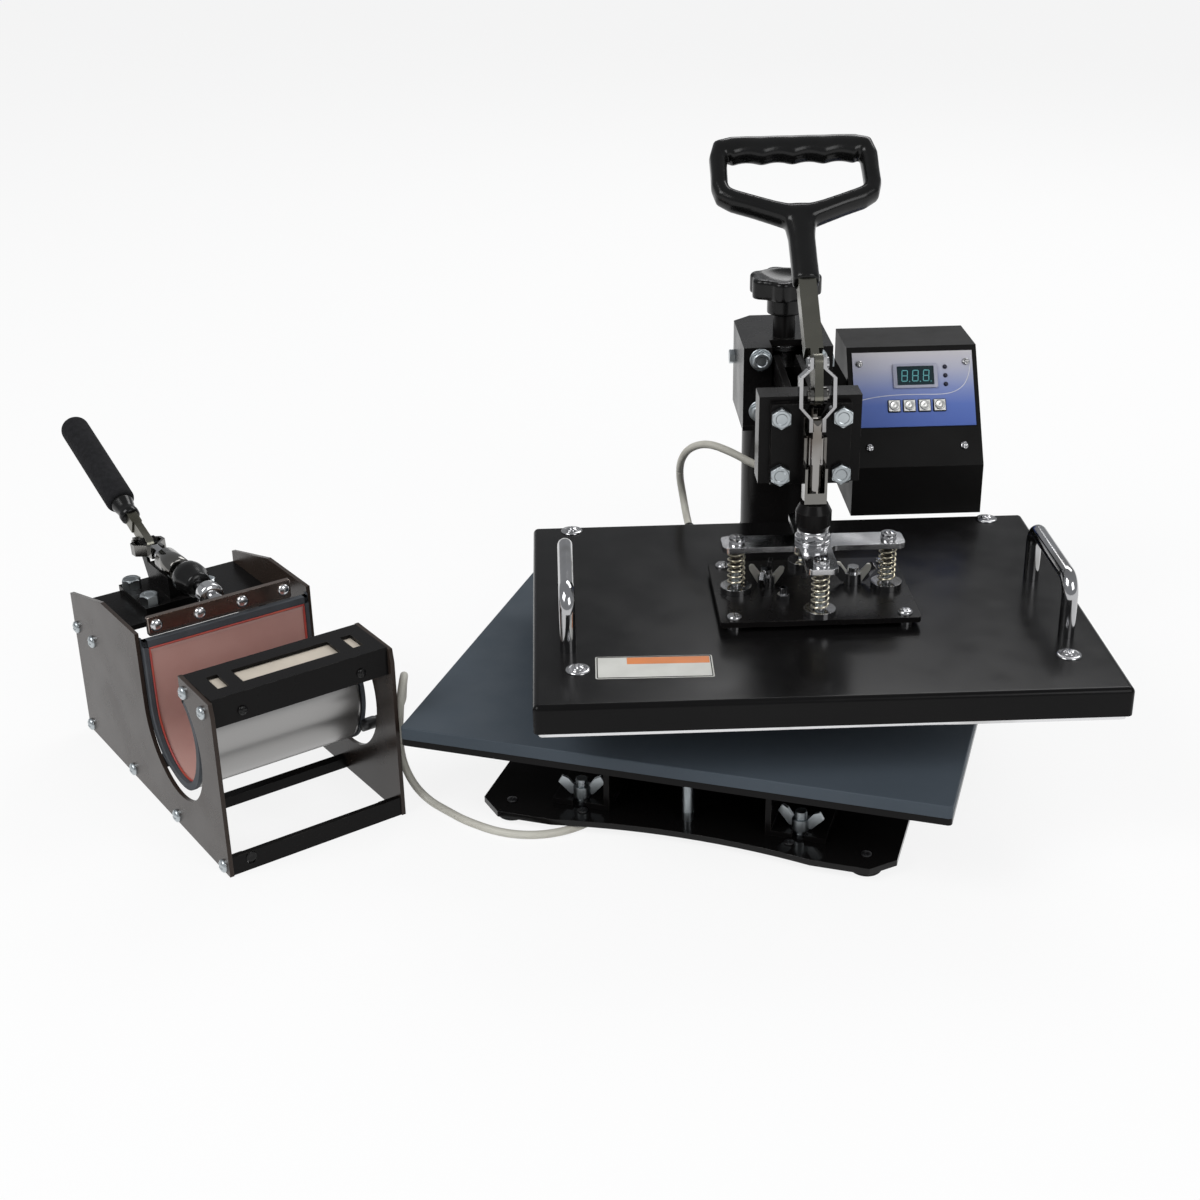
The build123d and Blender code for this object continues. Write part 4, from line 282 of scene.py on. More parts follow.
M["pad"] = soft("silicone_pad", (0.050, 0.065, 0.081), (0.058, 0.073, 0.090), 0.62, 900, 0.00004,
                tint=6, level=0.25)
M["rubber"] = soft("rubber", (0.010, 0.010, 0.010), (0.018, 0.018, 0.018), 0.75, 500, 0.00004)
M["grip"] = soft("grip_plastic", (0.0045, 0.0044, 0.0043), (0.007, 0.007, 0.007), 0.22, 350, 0.00002,
                 level=0.28)
M["foam"] = soft("foam", (0.0085, 0.0085, 0.0095), (0.015, 0.015, 0.017), 0.85, 1500, 0.00025,
                 tint=300, level=0.2)
M["lining"] = soft("heat_lining", (0.44, 0.245, 0.215), (0.50, 0.30, 0.265), 0.42, 300, 0.00005,
                   tint=25, level=0.35)
M["blanket"] = soft("blanket", (0.75, 0.72, 0.66), (0.62, 0.60, 0.54), 0.9, 400, 0.0003)
M["board"] = soft("board", (0.02, 0.10, 0.05), (0.03, 0.14, 0.07), 0.45, 300, 0.00002)
M["plastic"] = soft("connector_plastic", (0.010, 0.010, 0.011), (0.016, 0.016, 0.017), 0.32, 500, 0.00002,
                    level=0.5)
M["glass"] = soft("display_lens", (0.004, 0.022, 0.030), (0.006, 0.028, 0.036), 0.12, 300, 0.000003,
                  level=0.5)
M["button"] = bright("button_metal", (0.62, 0.62, 0.60), 0.34)

FINISH = {  # the CAD nodes that are shown, by their material
    "paint": ["column_post", "swing_sleeve", "arm_housing", "clamp_arm", "clamp_bracket", "plunger_nose",
              "platen_stand", "mug_crossbars", "mug_front_channel", "mug_deck", "mount_plate",
              "mug_toggle_body"],
    "gloss": ["base_plate"],
    "cover": ["heater_cover", "lower_platen"],
    "side": ["mug_side_plates"],
    "box": ["control_box", "box_cover"],
    "chrome": ["side_links", "lift_handles", "platen_fasteners", "mug_plunger"],
    "rod": ["plunger"],
    "smoke": ["toggle_body", "mug_links"],
    "silver": ["spider_plate"],
    "zinc": ["base_fasteners", "head_fasteners", "clamp_bolts", "mug_frame_screws"],
    "lever": ["press_lever", "mug_lever"],
    "steel": ["swing_spindle", "pressure_screw"],
    "bronze": ["swing_bushes"],
    "aluminium": ["heat_plate"],
    "element": ["heating_element"],
    "pad": ["silicone_pad"],
    "rubber": ["rubber_feet"],
    "blanket": ["insulation_blanket"],
    "board": ["circuit_board"],
    "plastic": ["box_connectors", "power_rocker"],
    "glass": ["display_module"],
    "button": ["push_button_1", "push_button_2", "push_button_3", "push_button_4"],
}


def dress(node, material):
    mesh = NODES[node].data
    mesh.materials.clear()
    mesh.materials.append(material)


for key, names in FINISH.items():
    for name in names:
        dress(name, M[key])

# ---- floor, light and camera
FLOOR_GLOW = 0.86  # share of plain white in the floor that the camera sees


def make_floor():
    """Matte bench that the camera sees as plain white, with the shadows still on it."""
    mesh = joined("floor", [([(-6, -6, 0), (6, -6, 0), (6, 6, 0), (-6, 6, 0)], [(0, 1, 2, 3)])])
    s = Shader("floor_white", (0.86, 0.86, 0.86), 0.9, level=0.1)
    s.vary((0.87, 0.87, 0.87), 3)
    path = s.add("LightPath")
    glow = s.add("Emission")
    assign(glow, Color=(1, 1, 1, 1))
    seen = s.join("MAXIMUM", (path, "Is Camera Ray"), (path, "Is Glossy Ray"))
    through = s.join("MAXIMUM", (seen, "Value"), (path, "Is Transmission Ray"))
    share = s.join("MULTIPLY", (through, "Value"))
    share.inputs[1].default_value = FLOOR_GLOW
    blend = s.add("MixShader")
    s.link(share, "Value", blend, 0)
    s.link(s.bsdf, "BSDF", blend, 1)
    s.link(glow, "Emission", blend, 2)
    s.link(blend, "Shader", s.out, "Surface")
    mesh.materials.append(s.mat)
    put("floor", mesh)


def make_lamp(name, place, aim, size, power):
    data = bpy.data.lights.new(name, "AREA")
    data.shape = "RECTANGLE"
    data.size, data.size_y = size
    data.energy = power
    lamp = put(name, data)
    lamp.location = place
    lamp.rotation_euler = (Vector(aim) - Vector(place)).to_track_quat("-Z", "Y").to_euler()


def make_world():
    world = bpy.data.worlds.new("room")
    SCENE.world = world
    world.use_nodes = True
    assign(world.node_tree.nodes["Background"], Color=(0.95, 0.97, 1.0, 1), Strength=0.35)


def make_camera():
    data = bpy.data.cameras.new("camera")
    data.sensor_fit = "HORIZONTAL"
    data.sensor_width = 36.0
    data.lens = 52.742
    data.clip_start = 0.05
    camera = put("camera", data)
    yaw, pitch, roll = math.radians(-18.15), math.radians(24.90), math.radians(-1.13)
    forward = Vector((math.sin(yaw) * math.cos(pitch), math.cos(yaw) * math.cos(pitch), -math.sin(pitch)))
    right = Vector((math.cos(yaw), -math.sin(yaw), 0))
    up = right.cross(forward)
    across = math.cos(roll) * right + math.sin(roll) * up
    over = -math.sin(roll) * right + math.cos(roll) * up
    turn = Matrix((across, over, -forward)).transposed().to_4x4()
    camera.matrix_world = Matrix.Translation(at(PRESS, 271.43, -1296.48, 668.28)) @ turn
    SCENE.camera = camera


make_floor()
make_world()
make_camera()
make_lamp("key", (-1.2, -1.6, 2.2), (0, 0, 0.15), (1.4, 1.4), 42)
make_lamp("fill", (1.9, -1.2, 1.5), (0.1, 0, 0.15), (1.2, 1.2), 18)
make_lamp("back", (0.4, 1.9, 1.9), (0, 0, 0.2), (2.0, 1.0), 26)
SCENE.view_settings.view_transform = "Standard"

# ---- forms
def add_piece(name, made, body, finish, hides=(), smooth=True):
    """A piece from a mesh or from parts, on a body, in place of the CAD nodes that it hides."""
    mesh = joined(name, made) if isinstance(made, list) else made
    piece = put(name, mesh)
    mesh.materials.append(M[finish])
    if smooth:
        mesh.shade_smooth()
    if body:
        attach(piece, body)
    if hides:
        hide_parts(*hides)
    return piece


def smoothstep(a, b, x):
    t = min(1.0, max(0.0, (x - a) / (b - a)))
    return t * t * (3 - 2 * t)


def rings(points, sides, closed=False, first=True, last=True):
    """Points that come in rings, with the faces between the rings and over the two ends."""
    count = len(points) // sides
    faces = []
    for n in range(count if closed else count - 1):
        a, b = n * sides, (n + 1) % count * sides
        faces += [(a + k, a + (k + 1) % sides, b + (k + 1) % sides, b + k) for k in range(sides)]
    if first and not closed:
        faces.append(tuple(range(sides))[::-1])
    if last and not closed:
        faces.append(tuple(range((count - 1) * sides, count * sides)))
    return points, faces


def polar(place, radii, height, sides=48):
    """Skin over a disc: radii in mm or functions of the angle, and height(r, x, y, ring) in mm."""
    points = [at(place, 0, 0, height(0, 0, 0, 0))]
    for n, ring in enumerate(radii, 1):
        for k in range(sides):
            angle = 2 * math.pi * k / sides
            r = ring(angle) if callable(ring) else ring
            x, y = r * math.cos(angle), r * math.sin(angle)
            points.append(at(place, x, y, height(r, x, y, n)))
    faces = [(0, 1 + k, 1 + (k + 1) % sides) for k in range(sides)]
    for n in range(len(radii) - 1):
        a, b = 1 + n * sides, 1 + (n + 1) * sides
        faces += [(a + k, b + k, b + (k + 1) % sides, a + (k + 1) % sides) for k in range(sides)]
    return points, faces


def lathe(place, profile, sides=40, lobes=None):
    """Turned shape from (radius, height) pairs in mm; lobes(angle, radius, height) may change a radius."""
    points = []
    for r, z in profile:
        for k in range(sides):
            angle = 2 * math.pi * k / sides
            radius = lobes(angle, r, z) if lobes else r
            points.append(at(place, radius * math.cos(angle), radius * math.sin(angle), z))
    return rings(points, sides, first=profile[0][0] > 0, last=profile[-1][0] > 0)


def screw_head(place, radius, height, drive="cross", deep=0.8):
    """Domed head whose drive recess is sunk in its top; the place's origin is at the seat."""
    crown = height + deep + 0.15
    shares = (0.08, 0.16, 0.25, 0.34, 0.43, 0.52, 0.61, 0.70, 0.80, 0.90, 1.0)

    def skin(r, x, y, n):
        if n > len(shares):
            return 0.0
        z = crown - (crown - height * 0.62) * (r / radius) ** 2.4
        if drive == "cross":
            arm = max(min(abs(x), abs(y)) - 0.09 * radius, max(abs(x), abs(y)) - 0.62 * radius)
            z -= deep * (1 - smoothstep(0.0, 0.14 * radius, arm)) * (1 - 0.5 * r / radius)
        else:
            z -= deep * (1 - smoothstep(0.0, 0.08 * radius, abs(x) - 0.10 * radius))
        return z

    return polar(place, [radius * share for share in shares] + [radius * 1.01], skin)


def hex_head(place, across, height, spin=0.0):
    """Hexagon head with a turned chamfer; the place's origin is at the seat."""
    flat = across / 2

    def rim(angle):
        return flat / math.cos((angle + spin) % (math.pi / 3) - math.pi / 6)

    def skin(r, x, y, n):
        if n > 4:
            return 0.0
        return height - 0.35 * (r < flat * 0.6) - max(0.0, r - flat * 0.93) * 0.75

    return polar(place, [flat * 0.55, flat * 0.65, flat * 0.92, rim, lambda angle: rim(angle) + 0.01], skin)


def helix_line(place, radius, z0, z1, turns, per_turn=16):
    """Points of a coil along Z of a place."""
    count = int(turns * per_turn)
    line = []
    for i in range(count + 1):
        angle, rise = 2 * math.pi * turns * i / count, (z1 - z0) * i / count
        line.append(at(place, radius * math.cos(angle), radius * math.sin(angle), z0 + rise))
    return line


def nurbs_line(name, points, resolution=10):
    """Points read along the smooth curve that has these control points."""
    data = bpy.data.curves.new(name, "CURVE")
    data.dimensions = "3D"
    spline = data.splines.new("NURBS")
    spline.points.add(len(points) - 1)
    for point, spot in zip(spline.points, points):
        point.co = (*spot, 1.0)
    spline.order_u = 3
    spline.use_endpoint_u = True
    spline.resolution_u = resolution
    helper = put(name, data)
    mesh = evaluated(helper)
    line = [v.co.copy() for v in mesh.vertices]
    bpy.data.objects.remove(helper)
    bpy.data.meshes.remove(mesh)
    return line


def heading(line, i, closed=False):
    """Direction of a line at one of its points."""
    before = line[i - 1] if closed or i else line[i]
    after = line[(i + 1) % len(line)] if closed or i < len(line) - 1 else line[i]
    return (after - before).normalized()


def tube(line, radius, sides=16, closed=False):
    """Points and faces of a round tube along a line, in metres."""
    points, side = [], None
    for i, spot in enumerate(line):
        along = heading(line, i, closed)
        side = (along.orthogonal() if side is None else side - along * side.dot(along)).normalized()
        other = along.cross(side)
        for k in range(sides):
            turn = 2 * math.pi * k / sides
            points.append(spot + (side * math.cos(turn) + other * math.sin(turn)) * radius)
    return rings(points, sides, closed)


def sleeve_mesh(name, line, radius, sides=16):
    """Tube with a map of its own: turns round it, and metres along it."""
    mesh = joined(name, [tube(line, radius, sides)])
    run = [0.0]
    for a, b in zip(line, line[1:]):
        run.append(run[-1] + (b - a).length)
    layer = mesh.uv_layers.new(name="run")
    for polygon in mesh.polygons:
        last = polygon.index % sides == sides - 1
        for loop in polygon.loop_indices:
            i, k = divmod(mesh.loops[loop].vertex_index, sides)
            layer.data[loop].uv = (1.0 if last and k == 0 else k / sides, run[min(i, len(run) - 1)])
    return mesh


def ribbon(place, spots, half, thick):
    """Flat strip on a plane: spots are (x, y) in mm in the place's plane."""
    points, line = [], [Vector(spot) for spot in spots]
    for i, (x, y) in enumerate(spots):
        along = heading(line, i)
        for out, z in ((-half, 0), (-half, thick), (half, thick), (half, 0)):
            points.append(at(place, x - along.y * out, y + along.x * out, z))
    return rings(points, 4)


def plate(place, outline, z0, z1, ease=0.0):
    """Prism over an outline in mm, its upper rim eased inwards."""
    points, spots = [], [Vector(spot) for spot in outline]
    middle = sum(spots, Vector((0, 0))) / len(spots)
    for z, pull in ((z0, 0.0), (z1 - ease, 0.0), (z1, ease)):
        for spot in spots:
            points.append(at(place, *(spot - (spot - middle).normalized() * pull), z))
    return rings(points, len(spots))


def round_rect(x0, y0, x1, y1, r, steps=5):
    """Outline of a rectangle with rounded corners."""
    centres = ((x1 - r, y1 - r), (x0 + r, y1 - r), (x0 + r, y0 + r), (x1 - r, y0 + r))
    outline = []
    for quarter, (x, y) in enumerate(centres):
        for n in range(steps + 1):
            angle = math.radians(90 * (quarter + n / steps))
            outline.append((x + r * math.cos(angle), y + r * math.sin(angle)))
    return outline


def fused(piece, voxel, rounds):
    """Melts a piece's mesh into one smooth moulded skin."""
    remesh = piece.modifiers.new("skin", "REMESH")
    remesh.mode = "VOXEL"
    remesh.voxel_size = voxel
    remesh.use_smooth_shade = True
    soften = piece.modifiers.new("soften", "SMOOTH")
    soften.factor = 0.5
    soften.iterations = rounds
    baked = evaluated(piece)
    piece.modifiers.clear()
    piece.data = baked
    baked.shade_smooth()


def moulded(name, node, body, finish, voxel, rounds):
    """Smooth moulded form from a CAD node's solid, which it stands for."""
    mesh = NODES[node].data.copy()
    mesh.name = name
    mesh.materials.clear()
    fused(add_piece(name, mesh, body, finish, (node,)), voxel, rounds)


def bar(place, spots, closed=False, sides=20):
    """Rounded bar along spots of the place's plane: (x, y, half width in the plane, half depth), in mm."""
    points, line = [], [Vector(spot[:2]) for spot in spots]
    for i, (x, y, wide, deep) in enumerate(spots):
        along = heading(line, i, closed)
        for k in range(sides):
            turn = 2 * math.pi * k / sides
            c, d = math.cos(turn), math.sin(turn)
            c, d = math.copysign(abs(c) ** 0.8, c) * wide, math.copysign(abs(d) ** 0.8, d) * deep
            points.append(at(place, x - along.y * c, y + along.x * c, d))
    return rings(points, sides, closed)


# ---- leads
def sleeve_material():
    """Braided sleeve: short rows round the lead, after its own map."""
    s = Shader("lead_sleeve", (0.60, 0.585, 0.52), 0.46, level=0.4)
    s.vary((0.47, 0.45, 0.39), 35, 0.45, 0.8)
    weave = s.add("TexBrick")
    weave.offset = 0.5
    assign(weave, Scale=1.0, Mortar_Size=0.0004, Brick_Width=0.125, Row_Height=0.0016)
    s.link(s.space(kind="UV"), "Vector", weave, "Vector")
    s.bump(weave, 0.00010, strength=0.6)
    return s.mat


M["sleeve"] = sleeve_material()

HEATER_ROUTE = [  # out of the box, round behind the arm and down into the cover
    (52, 22, 158), (43, 21, 158.3), (38, 10, 160), (37, -6, 163), (30, -24, 168), (14, -38, 174),
    (-6, -45, 181), (-26, -46, 191), (-44, -40, 200), (-61, -30, 204), (-74, -17, 196), (-80, -4, 181),
    (-80, 8, 163), (-77, 11, 145), (-75, 2, 132), (-74, -9, 128.4), (-74, -17.9, 128.4),
]
MUG_ROUTE = [  # out of the mug press, under the lower platen and along the bench to the coil
    (-220, -264.5, 62), (-218, -266, 78), (-213, -273, 91), (-208.5, -284, 95), (-207, -294, 86),
    (-207.5, -297, 72), (-209, -297, 56), (-209.5, -296, 40), (-206, -296, 25), (-199, -296, 12),
    (-188, -298, 4), (-173, -305, 3.1), (-153, -315, 3.1), (-123, -323, 3.1), (-95.5, -318, 3.1),
    (-73, -300, 3.1), (-57, -268, 3.1), (-47, -212, 3.1), (-25, -156, 3.1), (-17, -98, 3.1),
    (-25, -38, 3.1), (-29, 22, 3.1), (-26, 76, 3.1), (-25, 104, 3.1),
]
TAIL_ROUTE = [(40, 170.5, 5.8), (54, 169, 3.2), (68, 165, 4.6), (79, 159.5, 7.9), (98, 144, 7.9)]
COIL = (16.0, 132.0)  # middle of the coil behind the column
COIL_RADIUS = ((0, 41.0), (0.35, 38.2), (0.7, 37.2), (1.0, 35.1), (1.35, 32.2), (1.7, 31.2), (2.6, 31.2),
               (2.8, 33.6), (3.0, 37.1), (3.31, 37.8))
COIL_OUT = 1.012  # control points lie this much outside the curve
COIL_HEIGHT = ((0, 3.1), (1.68, 3.1), (2.0, 8.0), (2.15, 9.0), (3.05, 9.0), (3.31, 8.6))
LEAD_R = 0.0029
SOCKET = (43.1, 55.8)  # y and z of the lead's socket in the mug press's side


def read_off(table, share):
    """Value at a share of the table's first column, along straight lines between its rows."""
    for (a, low), (b, high) in zip(table, table[1:]):
        if share <= b:
            return low + (high - low) * (share - a) / (b - a)
    return table[-1][1]


def coil_points(per_turn=16):
    """Two turns on the bench, one inside the other, and the rest lying on them."""
    points = []
    for n in range(int(COIL_RADIUS[-1][0] * per_turn) + 1):
        share = n / per_turn
        angle = math.pi - 2 * math.pi * share
        radius = read_off(COIL_RADIUS, share) * COIL_OUT
        points.append((COIL[0] + radius * math.cos(angle), COIL[1] + radius * math.sin(angle),
                       read_off(COIL_HEIGHT, share)))
    return points


def make_heater_lead():
    """One lead in three lengths along one smooth route, from the box to the platen."""
    line = nurbs_line("heater_route", [at(HEAD, *p) for p in HEATER_ROUTE])
    splits = [0]
    for spot in ((14, -38, 174), (-80, 4, 169)):
        middle = at(HEAD, *spot)
        splits.append(min(range(len(line)), key=lambda n: (line[n] - middle).length))
    splits.append(len(line) - 1)
    lengths = (("heater_lead_root", "head", "clamp", 0.078, (52, 22, 158), (18, -34, 172)),
               ("heater_lead_sleeve", "clamp", "ram", 0.138, (8, -20, 170), (-70, -20, 170)),
               ("heater_lead_tail", "ram", "upper_platen", 0.061, (-80, 0, 166), (-80, 0, 136)))
    for (name, near, far, length, start, end), first, last in zip(lengths, splits, splits[1:]):
        run = line[first:last + 1]
        lead = add_piece(name, sleeve_mesh(name, run, 0.003), None, "sleeve")
        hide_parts("heater_lead")
        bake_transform(lead)


def make_mug_lead():
    route = [at(MUG, 138, *SOCKET), at(MUG, 150, *SOCKET)]
    route += [at(PRESS, *p) for p in MUG_ROUTE + coil_points() + TAIL_ROUTE]
    line = nurbs_line("mug_route", route)
    profile = [(4.55, 0), (4.6, 4), (4.6, 9.6)]
    for n in range(5):
        slim, up = 0.28 * n, 2.6 * n
        profile += [(4.5 - slim, 10.2 + up), (4.2 - slim, 11.4 + up), (3.5, 11.8 + up), (3.5, 12.6 + up)]
    profile.append((3.05, 24.5))
    boot = add_piece("mug_lead_boot", [lathe(facing(MUG, (128, *SOCKET), (1, 0, 0)), profile, 32)],
                     "base", "plastic", ("mug_lead_ends",))
    end = (line[-1] - line[-3]).normalized()
    plug_place = Matrix.Translation(line[-1]) @ end.to_track_quat("Z", "Y").to_matrix().to_4x4()
    shell = [(3.2, -7), (3.4, -6.8), (4.1, 0), (4.6, 1), (4.6, 5), (6.4, 7), (6.4, 14), (7.0, 14.4),
             (7.0, 17), (7.5, 17.4), (7.5, 30), (7.1, 30.6), (7.1, 37.6), (6.2, 37.8), (6.1, 30), (0, 29.8)]

    def knurl(angle, r, z):
        return r - 0.25 * (0.5 + 0.5 * math.cos(28 * angle)) if 17 < z < 30.5 and r > 7.2 else r

    pin = [(0.8, 29), (0.8, 36.2), (0.5, 36.8), (0.0, 37.0)]
    parts = [lathe(plug_place, shell, 84, knurl)]
    for x, y in ((3.4, 0), (0, 3.4), (-3.4, 0), (0, -3.4)):
        parts.append(lathe(placed(plug_place, x, y, 0), pin, 12))
    plug = add_piece("mug_lead_plug", parts, "base", "zinc", ("mug_lead_ends",))
    lead = add_piece("mug_lead_sleeve", sleeve_mesh("mug_lead_sleeve", line, LEAD_R), "base", "sleeve",
                     ("mug_lead", "mug_lead_coil"))


make_heater_lead()
make_mug_lead()

# ---- springs, threads and heads
SPRING_SPOTS = ((-53.5, -180), (53.5, -180), (0, -222), (0, -138))
WING_NUTS = (-31, 31)
BASE_STUDS = ((-79, -277), (-79, -96), (79, -277), (79, -96))
BASE_SCREWS = ((-127, -291), (127, -291), (-74, -291), (74, -291), (-127, 44), (127, 44))
COVER_SCREWS = ((-168, -280), (-168, -42), (158, -280), (158, -42))
MOUNT_SCREWS = ((-59, -224), (-59, -136), (59, -224), (59, -136))
FRAME_SCREWS = ((9, 5), (89, 5), (171, 5), (258, 5), (225, 90), (257, 90), (14, 121), (44, 123))
UP, FRONT = (0, 0, 1), (0, -1, 0)


def make_wing_ears():
    """Upswept ears of the two wing nuts on the mount plate, drawn as rounded blades."""
    blade = [(3.6, -5.5), (5.6, -5.5), (12.2, 5.4), (12.6, 8.2), (11.4, 9.6), (9.4, 9.4), (3.6, 2.0)]
    mirrored = [(-x, y) for x, y in reversed(blade)]
    parts = []
    for x in WING_NUTS:
        upright = placed(HEAD, x, -172, 152.5, -12) @ Matrix.Rotation(math.pi / 2, 4, "X")
        parts += [plate(upright, outline, -0.9, 0.9, 0.3) for outline in (blade, mirrored)]
    add_piece("wing_nut_ears", parts, "upper_platen", "nut", smooth=False)


def make_springs():
    """Wound wire on the four studs."""
    parts = []
    for n, (x, y) in enumerate(SPRING_SPOTS):
        spot = placed(HEAD, x, y, 0) @ Matrix.Rotation(n * 1.3, 4, "Z")
        parts.append(tube(helix_line(spot, 5.55, 152.1, 178.9, 6.5, 24), 0.0009, 10))
    springs = add_piece("pressure_springs", parts, "ram", "spring", ("platen_springs",))
    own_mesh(springs)


def thread(place, x, y, radius, low, high, turns, ridge):
    return tube(helix_line(placed(place, x, y, 0), radius, low, high, turns), ridge, 6)


def make_threads():
    """Rolled threads on the studs: a fine ridge wound round each shank."""
    base = [thread(PRESS, x, y, 3.85, 11.5, 28.6, 14, 0.00045) for x, y in BASE_STUDS]
    base.append(thread(PRESS, 0, -281, 3.85, 17.5, 59.0, 34, 0.00045))
    add_piece("stud_threads", base, "base", "zinc")
    head = [thread(HEAD, x, -172, 2.95, 147, 159, 12, 0.00035) for x in WING_NUTS]
    head += [thread(HEAD, x, y, 2.95, 151.2, 163, 12, 0.00035) for x, y in SPRING_SPOTS]
    add_piece("mount_threads", head, "upper_platen", "zinc")


SLOPE = Vector((0, 55, 83)).normalized()  # up the control box's sloping front
OUTWARD = Vector((0, -83, 55)).normalized()
PANEL_TOP = Vector((110.5, 53, 252)) - SLOPE * 5  # 5 mm below the front's upper edge
TILT = Matrix((Vector((1, 0, 0)), SLOPE, OUTWARD)).transposed().to_4x4()
PANEL = placed(placed(HEAD, *PANEL_TOP) @ TILT, 0, 0, 1.2)  # on the film's face, Y up the slope


def make_screw_heads():
    """Recessed heads over the plain ones, body by body."""
    sides = [screw_head(facing(MUG, (x, y, z), (out, 0, 0)), 4.62, 2.5)
             for y, z in FRAME_SCREWS for x, out in ((0, -1), (136, 1))]
    add_piece("frame_screw_heads", sides, "base", "zinc")
    tops = [screw_head(facing(PRESS, (x, y, 11.3), UP), 3.6, 1.2, "slot", 0.4) for x, y in BASE_SCREWS]
    add_piece("base_screw_heads", tops, "base", "plastic")
    platen = [screw_head(facing(HEAD, (x, y, 139.6), UP), 4.6, 1.3, deep=0.7) for x, y in COVER_SCREWS]
    platen += [screw_head(facing(HEAD, (x, y, 146.4), UP), 5.05, 2.3, deep=0.7) for x, y in MOUNT_SCREWS]
    cup = [(8.4, 0), (8.4, 0.5), (7.6, 1.15), (5.9, 1.25), (5.0, 0.8), (4.4, 0.8)]
    platen += [lathe(facing(HEAD, (x, y, 138.4), UP), cup) for x, y in COVER_SCREWS]
    platen += [screw_head(facing(HEAD, (x, y, 184.0), UP), 5.6, 3.6, "slot", 1.1) for x, y in SPRING_SPOTS]
    add_piece("platen_screw_heads", platen, "upper_platen", "chrome")
    box = [screw_head(placed(PANEL, x, -9.5, 0.2), 2.85, 1.5, deep=0.6) for x in (-43, 43)]
    box += [screw_head(placed(PANEL, x, -78.4, -1.2), 3.2, 1.5, deep=0.6) for x in (-38, 38)]
    add_piece("box_screw_heads", box, "head", "chrome")


def make_hex_heads():
    """Hexagon heads over the plain ones, and the screws in the mug press's front."""
    deck = [hex_head(facing(MUG, (x, y, 113.0), UP), 13.0, 7.5) for x in (45, 91) for y in (216, 252)]
    add_piece("deck_bolt_heads", deck, "base", "zinc", smooth=False)
    plugs = [screw_head(facing(MUG, (x, 4.0, 119.5), FRONT), 3.4, 1.6, deep=0.6) for x in (24, 112)]
    stopper = [(3.9, 0), (3.9, 0.4), (3.3, 0.8), (1.6, 0.3), (0, 0.2)]
    plugs.append(lathe(facing(MUG, (17, 1.0, 10.0), FRONT), stopper, 28))
    add_piece("front_screw_heads", plugs, "base", "gloss")
    clamp = [hex_head(facing(HEAD, (x, -156.0, z), FRONT), 13.1, 5.6, math.pi / 6)
             for x in (-21.5, 21.5) for z in (225, 267)]
    add_piece("clamp_bolt_heads", clamp, "clamp", "zinc", smooth=False)
    bolts = [(x, z) for x in (-21, 21) for z in (229, 270)]
    washer = [(8.6, 0), (8.6, 1.2), (8.2, 1.5), (5.0, 1.5)]
    head = [hex_head(facing(HEAD, (x, -31.4, z), FRONT), 13.0, 6.0, math.pi / 6) for x, z in bolts]
    head += [lathe(facing(HEAD, (x, -30.4, z), FRONT), washer, 36) for x, z in bolts]
    add_piece("housing_bolt_heads", head, "head", "zinc", smooth=False)


M["spring"] = bright("spring_wire", (0.66, 0.62, 0.50), 0.20, stain=(0.40, 0.36, 0.26))
make_springs()
make_wing_ears()
make_threads()
make_screw_heads()
make_hex_heads()


# ---- control panel
FILM_HEIGHTS = (0.196, 0.2485)  # z of the film's lower and upper edge, in metres


def film_material():
    """Printed film: pale lilac at the top running into blue below."""
    s = Shader("panel_film", (0.45, 0.45, 0.50), 0.34, level=0.45)
    parts = s.add("SeparateXYZ")
    s.link(s.coords, "Object", parts, "Vector")
    share = s.ramp(parts, *FILM_HEIGHTS, out="Z")
    ramp = s.add("ValToRGB")
    elements = ramp.color_ramp.elements
    elements[0].color = (0.042, 0.105, 0.42, 1)
    elements[1].color = (0.61, 0.59, 0.62, 1)
    elements.new(0.30).color = (0.078, 0.15, 0.49, 1)
    elements.new(0.52).color = (0.22, 0.28, 0.56, 1)
    elements.new(0.78).color = (0.48, 0.49, 0.60, 1)
    s.link(share, "Result", ramp, "Fac")
    s.link(ramp, "Color", s.bsdf, "Base Color")
    s.sheen(50, 0.05)
    return s.bump(s.noise(1600, detail=2), 0.000012).mat


def plain(name, colour, other, rough=0.35, grain=900, depth=0.00001, level=0.5):
    """Printed or moulded surface, nearly even."""
    return soft(name, colour, other, rough, grain, depth, tint=60, level=level)


M["film"] = film_material()
M["frame"] = plain("display_frame", (0.36, 0.37, 0.47), (0.40, 0.41, 0.50))
M["line"] = plain("film_line", (0.80, 0.80, 0.84), (0.74, 0.75, 0.80))
M["digit"] = soft("digit_segment", (0.13, 0.42, 0.44), (0.104, 0.336, 0.352), 0.3, 400, 0.00001, glow=0.20)
M["lamp"] = plain("lamp_lens", (0.012, 0.012, 0.03), (0.02, 0.02, 0.04), rough=0.2)

SEGMENTS = (((-1, 2), (1, 2)), ((-1, 0), (1, 0)), ((-1, -2), (1, -2)), ((-1, 2), (-1, 0)), ((1, 2), (1, 0)),
            ((-1, 0), (-1, -2)), ((1, 0), (1, -2)))  # the seven bars of a digit
PANEL_X = 1.5  # middle of the display and of the button row
DISPLAY_Y = -20.5
DIGIT, BAR = 2.2, 0.36  # quarter of a digit's height, and half the width of its bars


def segment(place, a, b, width, height):
    """Six-sided lit bar between two corners of a digit."""
    along = (b - a).normalized()
    across = Vector((-along.y, along.x)) * width
    a, b = a + along * width * 1.15, b - along * width * 1.15
    spots = [a - along * width, a - across, b - across, b + along * width, b + across, a + across]
    return plate(place, spots, 0, height)


